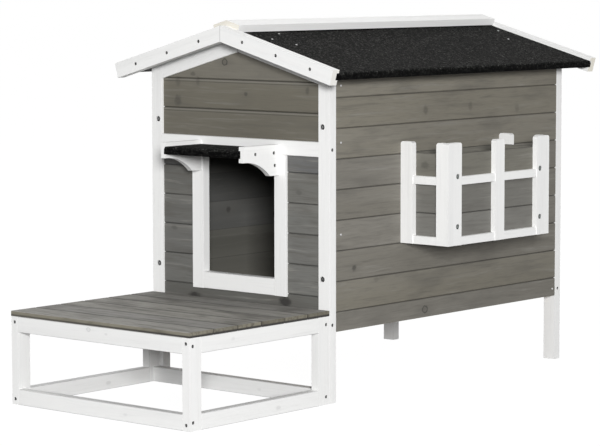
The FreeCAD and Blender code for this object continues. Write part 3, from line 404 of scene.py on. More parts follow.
def make_end_grain():
    """Where a timber's sawn end shows, and the growth rings on it."""
    group, given, result = new_group("End grain", ("Point", "Normal", "Run"), (), ("End", "Rings"))
    square = calc(group, "ABSOLUTE", vector_calc(group, "DOT_PRODUCT", given["Normal"], given["Run"]))
    group.links.new(ease(group, square, 0.85, 0.97), result["End"])
    rings = add_node(group, "ShaderNodeTexWave",
                     {"Vector": given["Point"], "Scale": 90.0, "Distortion": 3.0, "Detail": 2.0,
                      "Detail Scale": 1.5}, wave_type="RINGS", rings_direction="SPHERICAL")
    group.links.new(rings.outputs["Fac"], result["Rings"])
    return group


def make_granules():
    """Mineral granules pressed into roofing felt."""
    group, given, result = new_group(
        "Granules", ("Point",), ("Size",), ("Grain", "Glint", "Patch", "Clump", "Relief"))
    density = calc(group, "DIVIDE", 1.0, given["Size"])
    fine = add_node(group, "ShaderNodeTexVoronoi", {"Vector": given["Point"], "Scale": density})
    parts = add_node(group, "ShaderNodeSeparateColor", {"Color": fine.outputs["Color"]})
    group.links.new(parts.outputs["Red"], result["Grain"])
    group.links.new(ease(group, parts.outputs["Green"], 0.95, 0.99), result["Glint"])
    clump = noise(group, given["Point"], 120.0, 2.0)["Fac"]
    group.links.new(ease(group, clump, 0.35, 0.65), result["Clump"])
    group.links.new(noise(group, given["Point"], 16.0, 4.0)["Fac"], result["Patch"])
    height = calc(group, "SUBTRACT", 1.0, fine.outputs["Distance"])
    group.links.new(times(group, height, parts.outputs["Blue"]), result["Relief"])
    return group


def make_scuffs():
    """Soft rubbed patches, handled and uneven."""
    group, given, result = new_group("Scuffs", ("Point",), ("Scale", "Amount"), ("Rubbed",))
    cloud = noise(group, given["Point"], given["Scale"], 5.0, roughness=0.65)["Fac"]
    patch = ease(group, cloud, 0.5, 0.75)
    group.links.new(times(group, patch, given["Amount"]), result["Rubbed"])
    return group


GROUP_MAKERS = {
    "Timber grain": make_timber_grain,
    "Board tint": make_board_tint,
    "Seam lines": make_seam_lines,
    "Knot": make_knot,
    "End grain": make_end_grain,
    "Granules": make_granules,
    "Scuffs": make_scuffs,
}


def shared_group(name):
    """A shared effect, made the first time that it is asked for."""
    found = bpy.data.node_groups.get(name)
    return found if found else GROUP_MAKERS[name]()


# Materials

class Finish:
    """A material in the making: its tree, its shader and the places on the surface."""

    def __init__(self, name):
        self.material = bpy.data.materials.new(name)
        self.material.use_nodes = True
        self.tree = self.material.node_tree
        self.shader = self.tree.nodes["Principled BSDF"]
        place = self.tree.nodes.new("ShaderNodeTexCoord")
        self.point = place.outputs["Object"]
        self.normal = place.outputs["Normal"]
        self.x, self.y, self.z = parts_of(self.tree, self.point)
        self.seed = self.tree.nodes.new("ShaderNodeObjectInfo").outputs["Random"]

    def lay_on_slope(self):
        """Take places along and across the roof's slope, folded at the ridge; gives the distance from it."""
        tree = self.tree
        cosine = math.cos(ROOF_PITCH)
        sine = math.sin(ROOF_PITCH)
        side = calc(tree, "SUBTRACT", self.x, HOUSE_MIDDLE)
        folded = calc(tree, "ABSOLUTE", side)
        height = self.z
        self.x = calc(tree, "SUBTRACT", times(tree, folded, cosine), times(tree, height, sine))
        self.z = calc(tree, "ADD", times(tree, folded, sine), times(tree, height, cosine))
        self.point = joined(tree, self.x, self.y, self.z)
        facing = parts_of(tree, self.normal)
        outward = times(tree, facing["X"], calc(tree, "SIGN", side))
        self.normal = joined(tree, outward, facing["Y"], facing["Z"])
        return folded

    def grain(self, stretch, seed, seed_spread):
        """Timber grain on the surface, its pattern taken from a place that the seed gives."""
        return place_group(self.tree, "Timber grain", {
            "Point": self.point, "Stretch": stretch, "Seed": times(self.tree, seed, seed_spread)})

    def knots(self, along, across, places):
        """The darkest heart and halo of the listed knots."""
        heart = halo = None
        for knot_along, knot_across, half_length, half_height, darkness, ring in places:
            made = place_group(self.tree, "Knot", {
                "Along": along, "Across": across, "Knot along": knot_along, "Knot across": knot_across,
                "Half length": half_length, "Half height": half_height, "Darkness": darkness, "Ring": ring})
            heart = made["Heart"] if heart is None else calc(self.tree, "MAXIMUM", heart, made["Heart"])
            halo = made["Halo"] if halo is None else calc(self.tree, "MAXIMUM", halo, made["Halo"])
        return heart, halo

    def feed(self, socket, value):
        """Link a changing value to the shader, or set a constant on it."""
        put(self.tree, self.shader.inputs[socket], value)

    def bump(self, height, strength, distance):
        """Fine relief from a height."""
        made = add_node(self.tree, "ShaderNodeBump",
                        {"Height": height, "Strength": strength, "Distance": distance})
        self.feed("Normal", made.outputs["Normal"])

    def put_on(self, nodes):
        """Give this finish to the named parts."""
        for name in nodes:
            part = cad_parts[name]
            part.data.materials.clear()
            part.data.materials.append(self.material)


def stretch_of(run, along, across):
    """One number on the axis that a timber runs along, and another on the other two."""
    return tuple(along if axis == run else across for axis in "xyz")


def white_paint(name, settings, run, knots=(), raw=0.0, end_shading=1.0):
    """Opaque white paint on planed softwood, with faint grain, thinly painted sawn ends, and painted shade on
    the rounded edges and, where asked, on the bare ends.
    """
    finish = Finish(name)
    tree = finish.tree
    sloping = run == "slope"
    if sloping:
        from_ridge = finish.lay_on_slope()
        end_facing = (math.cos(ROOF_PITCH), 0.0, -math.sin(ROOF_PITCH))
        run = "x"
    else:
        end_facing = stretch_of(run, 1.0, 0.0)
    grain = finish.grain(stretch_of(run, PAINT_ALONG, PAINT_ACROSS), finish.seed, PAINT_SEED)
    shade = opaque(settings.grain_colour)
    dark = opaque(settings.knot_colour)
    faint = ease(tree, grain["Streak"], 0.5, 0.8)
    colour = overlay(tree, opaque(settings.colour), faint, settings.grain, shade)
    cloud = ease(tree, grain["Cloud"], 0.45, 0.75)
    colour = overlay(tree, colour, cloud, settings.unevenness, shade)
    if knots:
        heart, halo = finish.knots(finish.y if run == "y" else finish.x, finish.z, knots)
        colour = overlay(tree, colour, halo, 0.25, shade)
        colour = blend_colour(tree, heart, colour, dark)
    if sloping:
        joint = ease(tree, from_ridge, *RIDGE_JOINT)
        colour = overlay(tree, colour, joint, settings.joint, dark)
    else:
        # Painted shade on the rounded edges, which takes off their highlight where they face the lamp
        edge = ease(tree, squareness(tree, finish.normal), 0.98, 0.8)
        colour = overlay(tree, colour, edge, settings.painted_edge_shade, opaque(settings.edge_colour))
    if raw > 0.0:
        ends = place_group(tree, "End grain", {
            "Point": finish.point, "Normal": finish.normal, "Run": end_facing})
        # The factor below darkens the bare ends: painted shade that takes off light bounced onto them
        wood = opaque(end_shading * channel for channel in settings.raw_colour)
        ring = opaque(end_shading * channel for channel in settings.ring_colour)
        colour = overlay(tree, colour, ends["End"], raw, blend_colour(tree, ends["Rings"], wood, ring))
    finish.feed("Base Color", colour)
    finish.feed("Roughness", spread(tree, grain["Fibre"], 0.42, 0.62))
    finish.feed("Specular IOR Level", 0.35)
    relief = calc(tree, "ADD", times(tree, grain["Streak"], 0.6), grain["Fibre"])
    finish.bump(relief, strength=0.25, distance=0.0004)
    return finish


def board_ground(finish, settings, boards, along, tint):
    """The stain under the grain, which differs from board to board, with painted light and shade graded over
    the stack.
    """
    tree = finish.tree
    ground = tuple(getattr(settings, boards.colour))
    light_fade = 1.0
    # Painted light and shade: the stack grows paler towards the top and the far end, darker where a share is
    # negative
    if boards.lit_upward or boards.lit_onward:
        low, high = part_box(boards.nodes[0])
        axis = "xy".index(boards.runs[0])
        rise = ramp(tree, finish.z, low.z, high.z, 1.0 - boards.lit_upward, 1.0 + boards.lit_upward)
        run = ramp(tree, along, low[axis], high[axis], 1.0 - boards.lit_onward, 1.0 + boards.lit_onward)
        light_fade = times(tree, rise, run)
    if boards.outside:
        outer = ease(tree, parts_of(tree, finish.normal)["X"], -0.3, -0.6)
        light_fade = add_node(tree, "ShaderNodeMix", {0: outer, 2: light_fade, 3: 1.0}).outputs[0]
        ground = blend_colour(tree, outer, opaque(ground), opaque(getattr(settings, boards.outside)))
    differ = settings.board_tint * boards.lively
    depth = times(tree, spread(tree, tint["Tint"], 1.0 - differ, 1.0 + differ), light_fade)
    warmth = settings.board_warmth * (DECK_WARMTH if boards.flat else 1.0)
    return overlay(tree, scaled(tree, ground, depth), tint["Hue"], warmth, opaque(settings.warm_colour),
                   "MULTIPLY")


def board_grain(tree, settings, lively, grain, colour):
    """Dark and pale streaks, fine fibres, pale clouds and dark patches in the stain."""
    pale = opaque(settings.pale_and_highlight_colour)
    dark = opaque(settings.dark_colour)
    layers = (
        ("Streak", 0.48, 0.28, settings.streak * lively, dark),
        ("Streak", 0.54, 0.74, settings.streak * lively, pale),
        ("Fibre", 0.45, 0.75, settings.fibre * lively, dark),
        ("Cloud", 0.4, 0.75, settings.cloud, pale),
        ("Mottle", 0.5, 0.75, settings.mottle * lively, dark),
    )
    for pattern, start, end, strength, tone in layers:
        colour = overlay(tree, colour, ease(tree, grain[pattern], start, end), min(1.0, strength), tone)
    return colour


def board_seams(finish, settings, boards, tint, colour):
    """Dark seams between boards, with a painted highlight under them or with a deck's olive edges where there
    are any, and on a deck a painted shadow along its lower edge.
    """
    tree = finish.tree
    line = settings.seam_width
    if boards.flat:
        edge = ease(tree, calc(tree, "ABSOLUTE", parts_of(tree, finish.normal)["Z"]), 0.6, 0.2)
        line = spread(tree, edge, settings.deck_seam_width, 2.0 * settings.seam_width)
        colour = blend_colour(tree, edge, colour, opaque(settings.edge_colour), "MULTIPLY")
    lines = place_group(tree, "Seam lines", {
        "Below": tint["Below"], "Pitch": boards.seams[1], "Line": line, "Shoulder": boards.shoulder})
    # Painted highlight below each seam, where the chamfer faces up to the light
    if boards.shoulder > 0.0:
        colour = overlay(tree, colour, lines["Pale"], settings.shoulder, opaque(settings.pale_and_highlight_colour))
    shadow = times(tree, lines["Dark"], boards.seam)
    if boards.flat:
        behind = ease(tree, finish.y, *(DECK_LOW.y + depth for depth in DECK_LIP))
        shadow = times(tree, shadow, behind)
        # Painted shadow along the lower edge of the deck's sides, where it sits over the rails, stronger to
        # the right
        under = ease(tree, finish.z, *(DECK_LOW.z + height for height in DECK_SHADOW_LINE))
        rightward = ramp(tree, finish.x, DECK_LOW.x, DECK_HIGH.x, DECK_SHADOW_LINE_LEFT, 1.0)
        under = times(tree, times(tree, under, edge), rightward)
        shadow = calc(tree, "MAXIMUM", shadow, under)
    return blend_colour(tree, shadow, colour, opaque(settings.knot_colour))


def grey_stain(name, settings, boards):
    """Thin grey stain on boards, darker in the grain and seams and paler on some boards."""
    finish = Finish(name)
    tree = finish.tree
    along = {"x": finish.x, "y": finish.y}[boards.runs[0]]
    first_seam, pitch = boards.seams
    tint = place_group(tree, "Board tint", {
        "Height": finish.y if boards.flat else finish.z, "First seam": first_seam, "Pitch": pitch,
        "Seed": finish.seed})
    stretch = stretch_of(boards.runs[0], GRAIN_ALONG, DECK_GRAIN_ACROSS if boards.flat else GRAIN_ACROSS)
    if len(boards.runs) > 1:
        sideways = calc(tree, "ABSOLUTE", parts_of(tree, finish.normal)["X"])
        turned = calc(tree, "GREATER_THAN", sideways, math.sqrt(0.5))
        other = stretch_of(boards.runs[1], GRAIN_ALONG, GRAIN_ACROSS)
        stretch = add_node(tree, "ShaderNodeMix", {0: turned, 4: stretch, 5: other},
                           data_type="VECTOR").outputs[1]
    grain = finish.grain(stretch, tint["Tint"], BOARD_SEED)
    colour = board_ground(finish, settings, boards, along, tint)
    colour = board_grain(tree, settings, boards.lively, grain, colour)
    colour = board_seams(finish, settings, boards, tint, colour)
    if boards.knots:
        heart, halo = finish.knots(along, finish.z, boards.knots)
        colour = overlay(tree, colour, halo, 0.3, opaque(settings.dark_colour))
        colour = overlay(tree, colour, heart, 0.8, opaque(settings.knot_colour))
    finish.feed("Base Color", colour)
    finish.feed("Roughness", spread(tree, grain["Fibre"], 0.62, 0.82))
    finish.feed("Specular IOR Level", 0.2)
    relief = calc(tree, "ADD", times(tree, grain["Streak"], 0.7), grain["Fibre"])
    finish.bump(relief, strength=0.35, distance=0.0005)
    return finish


def bare_softwood(name, settings, run):
    """Unpainted spruce with yellow-brown growth lines."""
    finish = Finish(name)
    tree = finish.tree
    grain = finish.grain(stretch_of(run, GRAIN_ALONG, GRAIN_ACROSS), finish.seed, WOOD_SEED)
    growth = ease(tree, grain["Streak"], 0.35, 0.7)
    colour = blend_colour(tree, growth, opaque(settings.colour), opaque(settings.grain_colour))
    rubbed = place_group(tree, "Scuffs", {"Point": finish.point, "Scale": 9.0, "Amount": 0.4})["Rubbed"]
    finish.feed("Base Color", blend_colour(tree, rubbed, colour, opaque(settings.rubbed_colour)))
    finish.feed("Roughness", spread(tree, grain["Fibre"], 0.6, 0.85))
    finish.feed("Specular IOR Level", 0.25)
    finish.bump(grain["Fibre"], strength=0.3, distance=0.0004)
    return finish


def black_stain(name, settings, run):
    """Black stain on the roof panels and the canopy board, thin on the raised grain."""
    finish = Finish(name)
    tree = finish.tree
    grain = finish.grain(stretch_of(run, GRAIN_ALONG, GRAIN_ACROSS), finish.seed, WOOD_SEED)
    thin = ease(tree, grain["Streak"], 0.5, 0.85)
    colour = blend_colour(tree, thin, opaque(settings.black_colour), opaque(settings.thin_black))
    finish.feed("Base Color", colour)
    finish.feed("Roughness", spread(tree, grain["Fibre"], 0.6, 0.85))
    finish.feed("Specular IOR Level", 0.15)
    finish.bump(grain["Fibre"], strength=0.3, distance=0.0004)
    return finish


def mineral_felt(name, settings, base):
    """Black roofing felt with pressed granules, a few of them bright as painted glints, and painted shade on
    faces that don't look up.
    """
    finish = Finish(name)
    tree = finish.tree
    granules = place_group(tree, "Granules", {"Point": finish.point, "Size": settings.granule})
    speck = ease(tree, granules["Grain"], 0.45, 1.0)
    patch = spread(tree, granules["Patch"], 0.55, 1.45)
    thick = times(tree, patch, spread(tree, granules["Clump"], 0.3, 1.5))
    covered = calc(tree, "MULTIPLY", speck, thick, clamp=True)
    colour = blend_colour(tree, covered, opaque(base), opaque(settings.granule_colour))
    colour = overlay(tree, colour, granules["Glint"], 0.5, opaque(settings.glint_colour))
    # Painted shade: faces that don't look up, such as the flap bent over the eave, are darkened
    lit_upward = ease(tree, parts_of(tree, finish.normal)["Z"], 0.25, 0.8)
    finish.feed("Base Color", scaled(tree, colour, spread(tree, lit_upward, settings.edge_shade, 1.0)))
    finish.feed("Roughness", spread(tree, granules["Grain"], 0.75, 0.95))
    finish.feed("Specular IOR Level", 0.03)
    finish.bump(granules["Relief"], strength=0.5, distance=0.0008)
    return finish


def zinc_plate(name, settings, base, rim=None):
    """Dull zinc plate, cloudy and lightly handled; a domed head gets a dark rim, painted shade of the hole
    round it.
    """
    finish = Finish(name)
    tree = finish.tree
    rubbed = place_group(tree, "Scuffs", {"Point": finish.point, "Scale": 240.0, "Amount": 0.8})["Rubbed"]
    colour = blend_colour(tree, rubbed, opaque(base), opaque(settings.worn_colour))
    if rim:
        # Painted shade: the rim of a domed head is darkened like the shade of the hole round it
        crown = ease(tree, squareness(tree, finish.normal), 0.972, 0.992)
        colour = blend_colour(tree, crown, opaque(rim), colour)
    finish.feed("Base Color", colour)
    finish.feed("Metallic", 1.0)
    finish.feed("Roughness", spread(tree, rubbed, settings.roughness, settings.roughness + 0.2))
    finish.bump(rubbed, strength=0.1, distance=0.0002)
    return finish


# Settings

def colour_setting(name, description, default):
    """A colour that a user may change."""
    return FloatVectorProperty(name=name, description=description, subtype="COLOR", size=3,
                               min=0.0, max=1.0, default=default)


def share_setting(name, description, default):
    """A share from 0 to 1 that a user may change."""
    return FloatProperty(name=name, description=description, subtype="FACTOR", min=0.0, max=1.0,
                         default=default)


def width_setting(name, description, default, low, high):
    """A small width that a user may change, in metres."""
    return FloatProperty(name=name, description=description, subtype="DISTANCE", unit="LENGTH",
                         min=low, max=high, precision=4, default=default)


def power_setting(name, description, default):
    """A lamp's power that a user may change, in watts."""
    return FloatProperty(name=name, description=description, subtype="POWER", unit="POWER", min=0.0,
                         default=default)


def angle_setting(name, description, degrees):
    """An angle that a user may change."""
    return FloatProperty(name=name, description=description, subtype="ANGLE", unit="ROTATION",
                         default=math.radians(degrees))


class PaintSettings(bpy.types.PropertyGroup):
    """White paint on the frame timbers."""

    colour: colour_setting("Paint", "White of the paint", (0.86, 0.86, 0.852))
    grain_colour: colour_setting("Grain", "Where the grain shows through", (0.66, 0.66, 0.655))
    knot_colour: colour_setting("Knots", "Knots that stain the paint", (0.36, 0.36, 0.36))
    raw_colour: colour_setting("Sawn end", "Unpainted sawn ends", (0.86, 0.83, 0.74))
    ring_colour: colour_setting("Rings", "Growth rings on the sawn ends", (0.82, 0.76, 0.62))
    # Colour and strength of the painted shade on the rounded edges, which tones down their highlight
    edge_colour: colour_setting("Edges", "Thin paint on the edges", (0.58, 0.58, 0.575))
    painted_edge_shade: share_setting("Thin edges", "How thin the paint is on the edges", 0.8)
    raw_front: share_setting("Raw front ends", "How little paint the front bargeboards' ends took", 0.3)
    raw_ridge: share_setting("Raw ridge ends", "How little paint the ridge strips' ends took", 0.75)
    # Painted shade on the ridge strips' bare ends, against the light bounced onto them from the bargeboards
    ridge_end_shading: share_setting("Weathered ridge", "How pale the ridge strips' bare ends stayed", 0.78)
    raw_rear: share_setting("Raw rear ends", "How little paint the rear bargeboards' ends took", 0.75)
    joint: share_setting("Joint", "How dark the joint under the ridge is", 0.55)
    grain: share_setting("Grain strength", "How much of the grain shows", 0.3)
    unevenness: share_setting("Unevenness", "How uneven the paint film is", 0.2)


class StainSettings(bpy.types.PropertyGroup):
    """Grey stain on the boards and black stain on the panels."""

    wall_colour: colour_setting("Walls", "Stain on the side and rear walls", (0.19, 0.181, 0.163))
    front_colour: colour_setting("Front wall", "Stain on the front wall", (0.138, 0.14, 0.142))
    gable_colour: colour_setting("Gable", "Stain on the gable", (0.16, 0.152, 0.134))
    trough_colour: colour_setting("Flower box", "Stain on the flower box's trough", (0.165, 0.162, 0.15))
    deck_colour: colour_setting("Deck", "Stain on the terrace deck", (0.286, 0.279, 0.263))
    # Pale streaks of worn grain, and also the painted highlight under the seams
    pale_and_highlight_colour: colour_setting("Pale streaks", "Worn, paler grain", (0.27, 0.262, 0.24))
    dark_colour: colour_setting("Dark streaks", "Dark grain", (0.1, 0.095, 0.085))
    warm_colour: colour_setting("Warm boards", "Olive cast of some boards", (1.0, 0.975, 0.87))
    knot_colour: colour_setting("Knots", "Hearts of the knots", (0.045, 0.043, 0.04))
    edge_colour: colour_setting("Deck edges", "Olive cast of the deck's sawn edges", (0.74, 0.71, 0.61))
    # Grey stain inside, painted much darker than the walls outside to stand in for the shade inside the house
    inner_colour: colour_setting("Inside", "Stain on the left wall's inner side", (0.074, 0.0745, 0.072))
    black_colour: colour_setting("Black stain", "Stain on the roof panels", (0.014, 0.0135, 0.013))
    thin_black: colour_setting("Thin black", "Black stain on raised grain", (0.034, 0.032, 0.029))
    streak: share_setting("Streaks", "How strong the streaks are", 0.35)
    fibre: share_setting("Fibres", "How strong the fine fibres are", 0.25)
    cloud: share_setting("Clouds", "How strong the cloudy patches are", 0.2)
    board_tint: share_setting("Board tint", "How much the boards differ", 0.08)
    board_warmth: share_setting("Board warmth", "How much the boards differ in hue", 0.85)
    mottle: share_setting("Mottling", "How strong the dark patches are", 0.35)
    # Strength of the painted highlight under the seams, where the chamfer faces up to the light
    shoulder: share_setting("Shoulders", "How pale the shoulders under the seams are", 0.35)
    seam_width: width_setting("Seam width", "Half width of a seam's dark line", 0.0016, 0.0002, 0.01)
    deck_seam_width: width_setting(
        "Deck seam width", "Half width of the shaded line between deck boards", 0.008, 0.0002, 0.02)


class WoodSettings(bpy.types.PropertyGroup):
    """Unpainted softwood inside and underneath."""

    colour: colour_setting("Wood", "Pale growth", (0.62, 0.45, 0.27))
    grain_colour: colour_setting("Growth lines", "Dark growth", (0.45, 0.29, 0.15))
    rubbed_colour: colour_setting("Rubbed", "Where the wood is rubbed pale", (0.68, 0.53, 0.36))


class FeltSettings(bpy.types.PropertyGroup):
    """Mineral roofing felt."""

    colour: colour_setting("Roof felt", "Bitumen between the granules", (0.004, 0.004, 0.0039))
    canopy_colour: colour_setting("Canopy felt", "Bitumen of the canopy's felt", (0.0025, 0.0025, 0.0027))
    granule_colour: colour_setting("Granules", "Granules", (0.045, 0.045, 0.0425))
    # Painted glints on a few granules, and painted shade on the felt's faces that don't look up
    glint_colour: colour_setting("Bright granules", "The few bright granules", (0.16, 0.16, 0.15))
    edge_shade: share_setting("Edges", "How pale the felt's cut edges are", 0.35)
    granule: width_setting("Granule size", "Size of a granule", 0.0026, 0.0005, 0.01)


class MetalSettings(bpy.types.PropertyGroup):
    """Screws, nails and hinges."""

    # Darker zinc that partly stands in for the shade in the screws' holes; the rims are painted shade of
    # those holes
    screw_colour: colour_setting("Screws", "Dull zinc of the screws", (0.22, 0.22, 0.22))
    screw_shade_rim: colour_setting("Screw rims", "Dark rims of the screws", (0.01, 0.01, 0.01))
    box_screw_colour: colour_setting("Box screws", "Zinc of the flower box's screws", (0.24, 0.26, 0.25))
    box_screw_shade_rim: colour_setting("Box screw rims", "Rims of the flower box's screws", (0.06, 0.07, 0.065))
    nail_colour: colour_setting("Nails and hinges", "Bright zinc", (0.62, 0.62, 0.63))
    worn_colour: colour_setting("Worn", "Where the zinc is rubbed", (0.5, 0.5, 0.5))
    roughness: share_setting("Roughness", "How dull the zinc is", 0.38)


class StageSettings(bpy.types.PropertyGroup):
    """Floor, light and camera."""

    floor_colour: colour_setting("Floor", "Pale floor", (0.36, 0.36, 0.36))
    floor_size: FloatProperty(name="Floor size", description="Length of the floor's sides",
                              subtype="DISTANCE", unit="LENGTH", min=2.0, default=240.0)
    ambient: FloatProperty(name="Room light", description="Even light from all round", min=0.0, default=0.25)
    key: power_setting("Key lamp", "Power of the lamp at the front right", 1110.0)
    top: power_setting("Top lamp", "Power of the lamp overhead", 32.0)
    fill: power_setting("Fill lamp", "Power of the lamp at the rear left", 15.0)
    camera_place: FloatVectorProperty(name="Camera", description="Where the camera stands",
                                      subtype="TRANSLATION", unit="LENGTH", size=3,
                                      default=(3.5433, -4.187, 0.8862))
    azimuth: angle_setting("Azimuth", "Camera's turn round the house", 40.709)
    elevation: angle_setting("Elevation", "Camera's height above the horizon", 5.662)
    roll: angle_setting("Roll", "Camera's tilt", -0.077)
    lens: FloatProperty(name="Lens", description="Focal length on a 36 mm sensor", subtype="DISTANCE_CAMERA",
                        unit="CAMERA", min=1.0, default=153.16)


# Operators

class CATHOUSE_OT_white_timber(bpy.types.Operator):
    """Paint the posts, rails, pickets, bargeboards and ridge strips white"""

    bl_idname = "cathouse.white_timber"
    bl_label = "White timber"

    def execute(self, context):
        paint = context.scene.cathouse_paint
        white_paint("white_paint_upright", paint, "z").put_on(WHITE_UPRIGHT)
        white_paint("white_paint_across", paint, "x", RAIL_KNOTS).put_on(WHITE_ACROSS)
        white_paint("white_paint_along", paint, "y", SIDE_RAIL_KNOTS).put_on(WHITE_ALONG)
        white_paint("white_paint_sloping", paint, "slope", raw=paint.raw_front).put_on(WHITE_SLOPING)
        white_paint("white_paint_rear", paint, "slope", raw=paint.raw_rear).put_on(WHITE_REAR)
        # The ridge strips' bare ends are darkened: painted shade against light bounced onto them
        ridge = white_paint("white_paint_ridge", paint, "y", raw=paint.raw_ridge,
                            end_shading=paint.ridge_end_shading)
        ridge.put_on(WHITE_RIDGE)
        return {"FINISHED"}


class CATHOUSE_OT_grey_boards(bpy.types.Operator):
    """Stain the wall boards, the gable and the flower box's trough grey"""

    bl_idname = "cathouse.grey_boards"
    bl_label = "Grey boards"

    def execute(self, context):
        for name, boards in WALLS.items():
            grey_stain(name, context.scene.cathouse_stain, boards).put_on(boards.nodes)
        return {"FINISHED"}


class CATHOUSE_OT_deck(bpy.types.Operator):
    """Stain the terrace deck"""

    bl_idname = "cathouse.deck"
    bl_label = "Terrace deck"

    def execute(self, context):
        grey_stain("deck_stain", context.scene.cathouse_stain, DECK).put_on(DECK.nodes)
        return {"FINISHED"}


class CATHOUSE_OT_bare_wood(bpy.types.Operator):
    """Leave the framing, the floor and the ridge beam as plain softwood"""

    bl_idname = "cathouse.bare_wood"
    bl_label = "Bare wood"

    def execute(self, context):
        wood = context.scene.cathouse_wood
        bare_softwood("bare_wood_upright", wood, "z").put_on(
            ("left_wall_framing", "right_wall_framing", "planter_corner_battens"))
        bare_softwood("bare_wood_across", wood, "x").put_on(("floor_boards",))
        bare_softwood("bare_wood_along", wood, "y").put_on(("ridge_beam",))
        return {"FINISHED"}


class CATHOUSE_OT_black_panels(bpy.types.Operator):
    """Stain the roof panels and the canopy board black"""

    bl_idname = "cathouse.black_panels"
    bl_label = "Black panels"

    def execute(self, context):
        stain = context.scene.cathouse_stain
        black_stain("black_stain_along", stain, "y").put_on(("roof_panel_left", "roof_panel_right"))
        black_stain("black_stain_across", stain, "x").put_on(("canopy_board",))
        return {"FINISHED"}


class CATHOUSE_OT_roofing_felt(bpy.types.Operator):
    """Lay black mineral felt on the roof, the ridge and the canopy"""

    bl_idname = "cathouse.roofing_felt"
    bl_label = "Roofing felt"

    def execute(self, context):
        felt = context.scene.cathouse_felt
        mineral_felt("roofing_felt", felt, felt.colour).put_on(
            ("roof_felt_left", "roof_felt_right", "ridge_felt"))
        mineral_felt("canopy_felt", felt, felt.canopy_colour).put_on(("canopy_felt",))
        return {"FINISHED"}


class CATHOUSE_OT_hardware(bpy.types.Operator):
    """Plate the screws, nails and hinges with zinc"""

    bl_idname = "cathouse.hardware"
    bl_label = "Screws, nails and hinges"

    def execute(self, context):
        metal = context.scene.cathouse_metal
        zinc_plate("zinc_screws", metal, metal.screw_colour, metal.screw_shade_rim).put_on(
            ("frame_screws", "bargeboard_screws", "canopy_screws"))
        zinc_plate("zinc_box_screws", metal, metal.box_screw_colour, metal.box_screw_shade_rim).put_on(
            ("planter_screws",))
        zinc_plate("zinc_hardware", metal, metal.nail_colour).put_on(
            ("wall_nails", "felt_nails", "hinge_wall_leaves", "hinge_roof_leaves", "hinge_pins",
             "hinge_wall_screws", "hinge_roof_screws"))
        return {"FINISHED"}


def seen_by_camera(tree):
    """1 where the camera sees a background, straight or in metal and glass, and 0 for the light it casts."""
    path = tree.nodes.new("ShaderNodeLightPath").outputs
    seen = calc(tree, "MAXIMUM", path["Is Camera Ray"], path["Is Glossy Ray"])
    return calc(tree, "MAXIMUM", seen, path["Is Transmission Ray"])


def make_floor(settings):
    """A pale floor, white to the camera except where the house shades it."""
    mesh = bpy.data.meshes.new("floor")
    sheet = bmesh.new()
    bmesh.ops.create_grid(sheet, x_segments=1, y_segments=1, size=settings.floor_size / 2.0)
    sheet.to_mesh(mesh)
    sheet.free()
    floor = bpy.data.objects.new("floor", mesh)
    floor.location.z = -FLOOR_DROP
    bpy.context.scene.collection.objects.link(floor)
    material = bpy.data.materials.new("pale_floor")
    material.use_nodes = True
    tree = material.node_tree
    tree.nodes.clear()
    matt = add_node(tree, "ShaderNodeBsdfDiffuse", {"Color": opaque(settings.floor_colour)})
    white = add_node(tree, "ShaderNodeEmission", {"Color": WHITE, "Strength": FLOOR_WHITE})
    share = times(tree, seen_by_camera(tree), FLOOR_SHARE)
    mixed = add_node(tree, "ShaderNodeMixShader", {0: share, 1: matt.outputs[0], 2: white.outputs[0]})
    add_node(tree, "ShaderNodeOutputMaterial", {"Surface": mixed.outputs[0]})
    mesh.materials.append(material)


def make_room(settings):
    """Even light from all round, with a white backdrop."""
    world = bpy.data.worlds.new("room")
    bpy.context.scene.world = world
    world.use_nodes = True
    tree = world.node_tree
    tree.nodes.clear()
    strength = spread(tree, seen_by_camera(tree), settings.ambient, 1.0)
    light = add_node(tree, "ShaderNodeBackground", {"Color": WHITE, "Strength": strength})
    add_node(tree, "ShaderNodeOutputWorld", {"Surface": light.outputs[0]})


def make_lamp(name, power, size, place, target):
    """A large soft square lamp aimed at a point."""
    data = bpy.data.lights.new(name, "AREA")
    data.energy = power
    data.shape = "SQUARE"
    data.size = size
    lamp = bpy.data.objects.new(name, data)
    lamp.location = place
    lamp.rotation_mode = "QUATERNION"
    lamp.rotation_quaternion = (Vector(target) - Vector(place)).to_track_quat("-Z", "Y")
    lamp.visible_camera = False
    bpy.context.scene.collection.objects.link(lamp)


def make_camera(settings):
    """The camera at the photograph's angle."""
    data = bpy.data.cameras.new("camera")
    data.sensor_width = 36.0
    data.lens = settings.lens
    data.clip_start = 0.05
    data.clip_end = 200.0
    camera = bpy.data.objects.new("camera", data)
    level = math.cos(settings.elevation)
    ahead = Vector((-math.sin(settings.azimuth) * level, math.cos(settings.azimuth) * level,
                    -math.sin(settings.elevation)))
    turn = ahead.to_track_quat("-Z", "Y").to_matrix() @ Matrix.Rotation(settings.roll, 3, "Z")
    camera.rotation_mode = "QUATERNION"
    camera.rotation_quaternion = turn.to_quaternion()
    camera.location = settings.camera_place
    bpy.context.scene.collection.objects.link(camera)
    bpy.context.scene.camera = camera


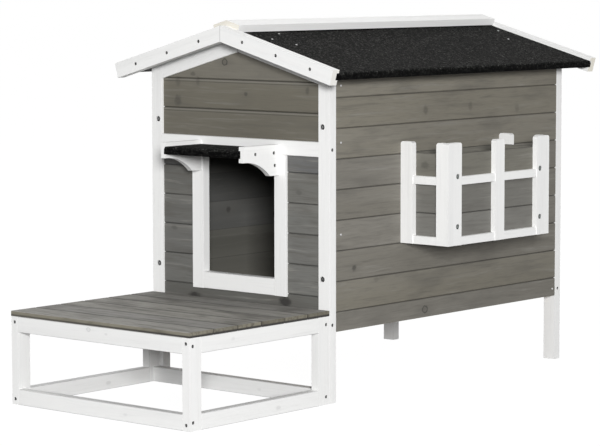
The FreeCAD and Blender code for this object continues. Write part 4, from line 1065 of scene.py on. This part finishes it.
class CATHOUSE_OT_stage(bpy.types.Operator):
    """Set up the floor, the light and the camera"""

    bl_idname = "cathouse.stage"
    bl_label = "Stage"

    def execute(self, context):
        settings = context.scene.cathouse_stage
        make_floor(settings)
        make_room(settings)
        make_lamp("key_lamp", settings.key, *KEY_LAMP)
        make_lamp("top_lamp", settings.top, *TOP_LAMP)
        make_lamp("fill_lamp", settings.fill, *FILL_LAMP)
        make_camera(settings)
        context.scene.view_settings.view_transform = "Standard"
        return {"FINISHED"}


class CATHOUSE_PT_finishes(bpy.types.Panel):
    """Finishes of the cat house"""

    bl_idname = "CATHOUSE_PT_finishes"
    bl_label = "Cat house"
    bl_space_type = "VIEW_3D"
    bl_region_type = "UI"
    bl_category = "Cat house"

    def draw(self, context):
        for group in SETTINGS:
            settings = getattr(context.scene, group)
            section = self.layout.box()
            for setting in settings.__annotations__:
                section.prop(settings, setting)
        for operator in OPERATORS:
            self.layout.operator(operator.bl_idname)


SETTINGS = {
    "cathouse_paint": PaintSettings,
    "cathouse_stain": StainSettings,
    "cathouse_wood": WoodSettings,
    "cathouse_felt": FeltSettings,
    "cathouse_metal": MetalSettings,
    "cathouse_stage": StageSettings,
}
OPERATORS = (
    CATHOUSE_OT_stage,
    CATHOUSE_OT_white_timber,
    CATHOUSE_OT_grey_boards,
    CATHOUSE_OT_deck,
    CATHOUSE_OT_bare_wood,
    CATHOUSE_OT_black_panels,
    CATHOUSE_OT_roofing_felt,
    CATHOUSE_OT_hardware,
)


def register():
    """Make the settings, the operators and the panel known."""
    for name, settings in SETTINGS.items():
        bpy.utils.register_class(settings)
        setattr(bpy.types.Scene, name, PointerProperty(type=settings))
    for operator in OPERATORS:
        bpy.utils.register_class(operator)
    bpy.utils.register_class(CATHOUSE_PT_finishes)


def unregister():
    """Take the panel, the operators and the settings away."""
    bpy.utils.unregister_class(CATHOUSE_PT_finishes)
    for operator in reversed(OPERATORS):
        bpy.utils.unregister_class(operator)
    for name, settings in SETTINGS.items():
        delattr(bpy.types.Scene, name)
        bpy.utils.unregister_class(settings)


def main():
    """Finish the house and set its stage."""
    register()
    bpy.ops.cathouse.stage()
    bpy.ops.cathouse.white_timber()
    bpy.ops.cathouse.grey_boards()
    bpy.ops.cathouse.deck()
    bpy.ops.cathouse.bare_wood()
    bpy.ops.cathouse.black_panels()
    bpy.ops.cathouse.roofing_felt()
    bpy.ops.cathouse.hardware()


if __name__ == "__main__":
    main()
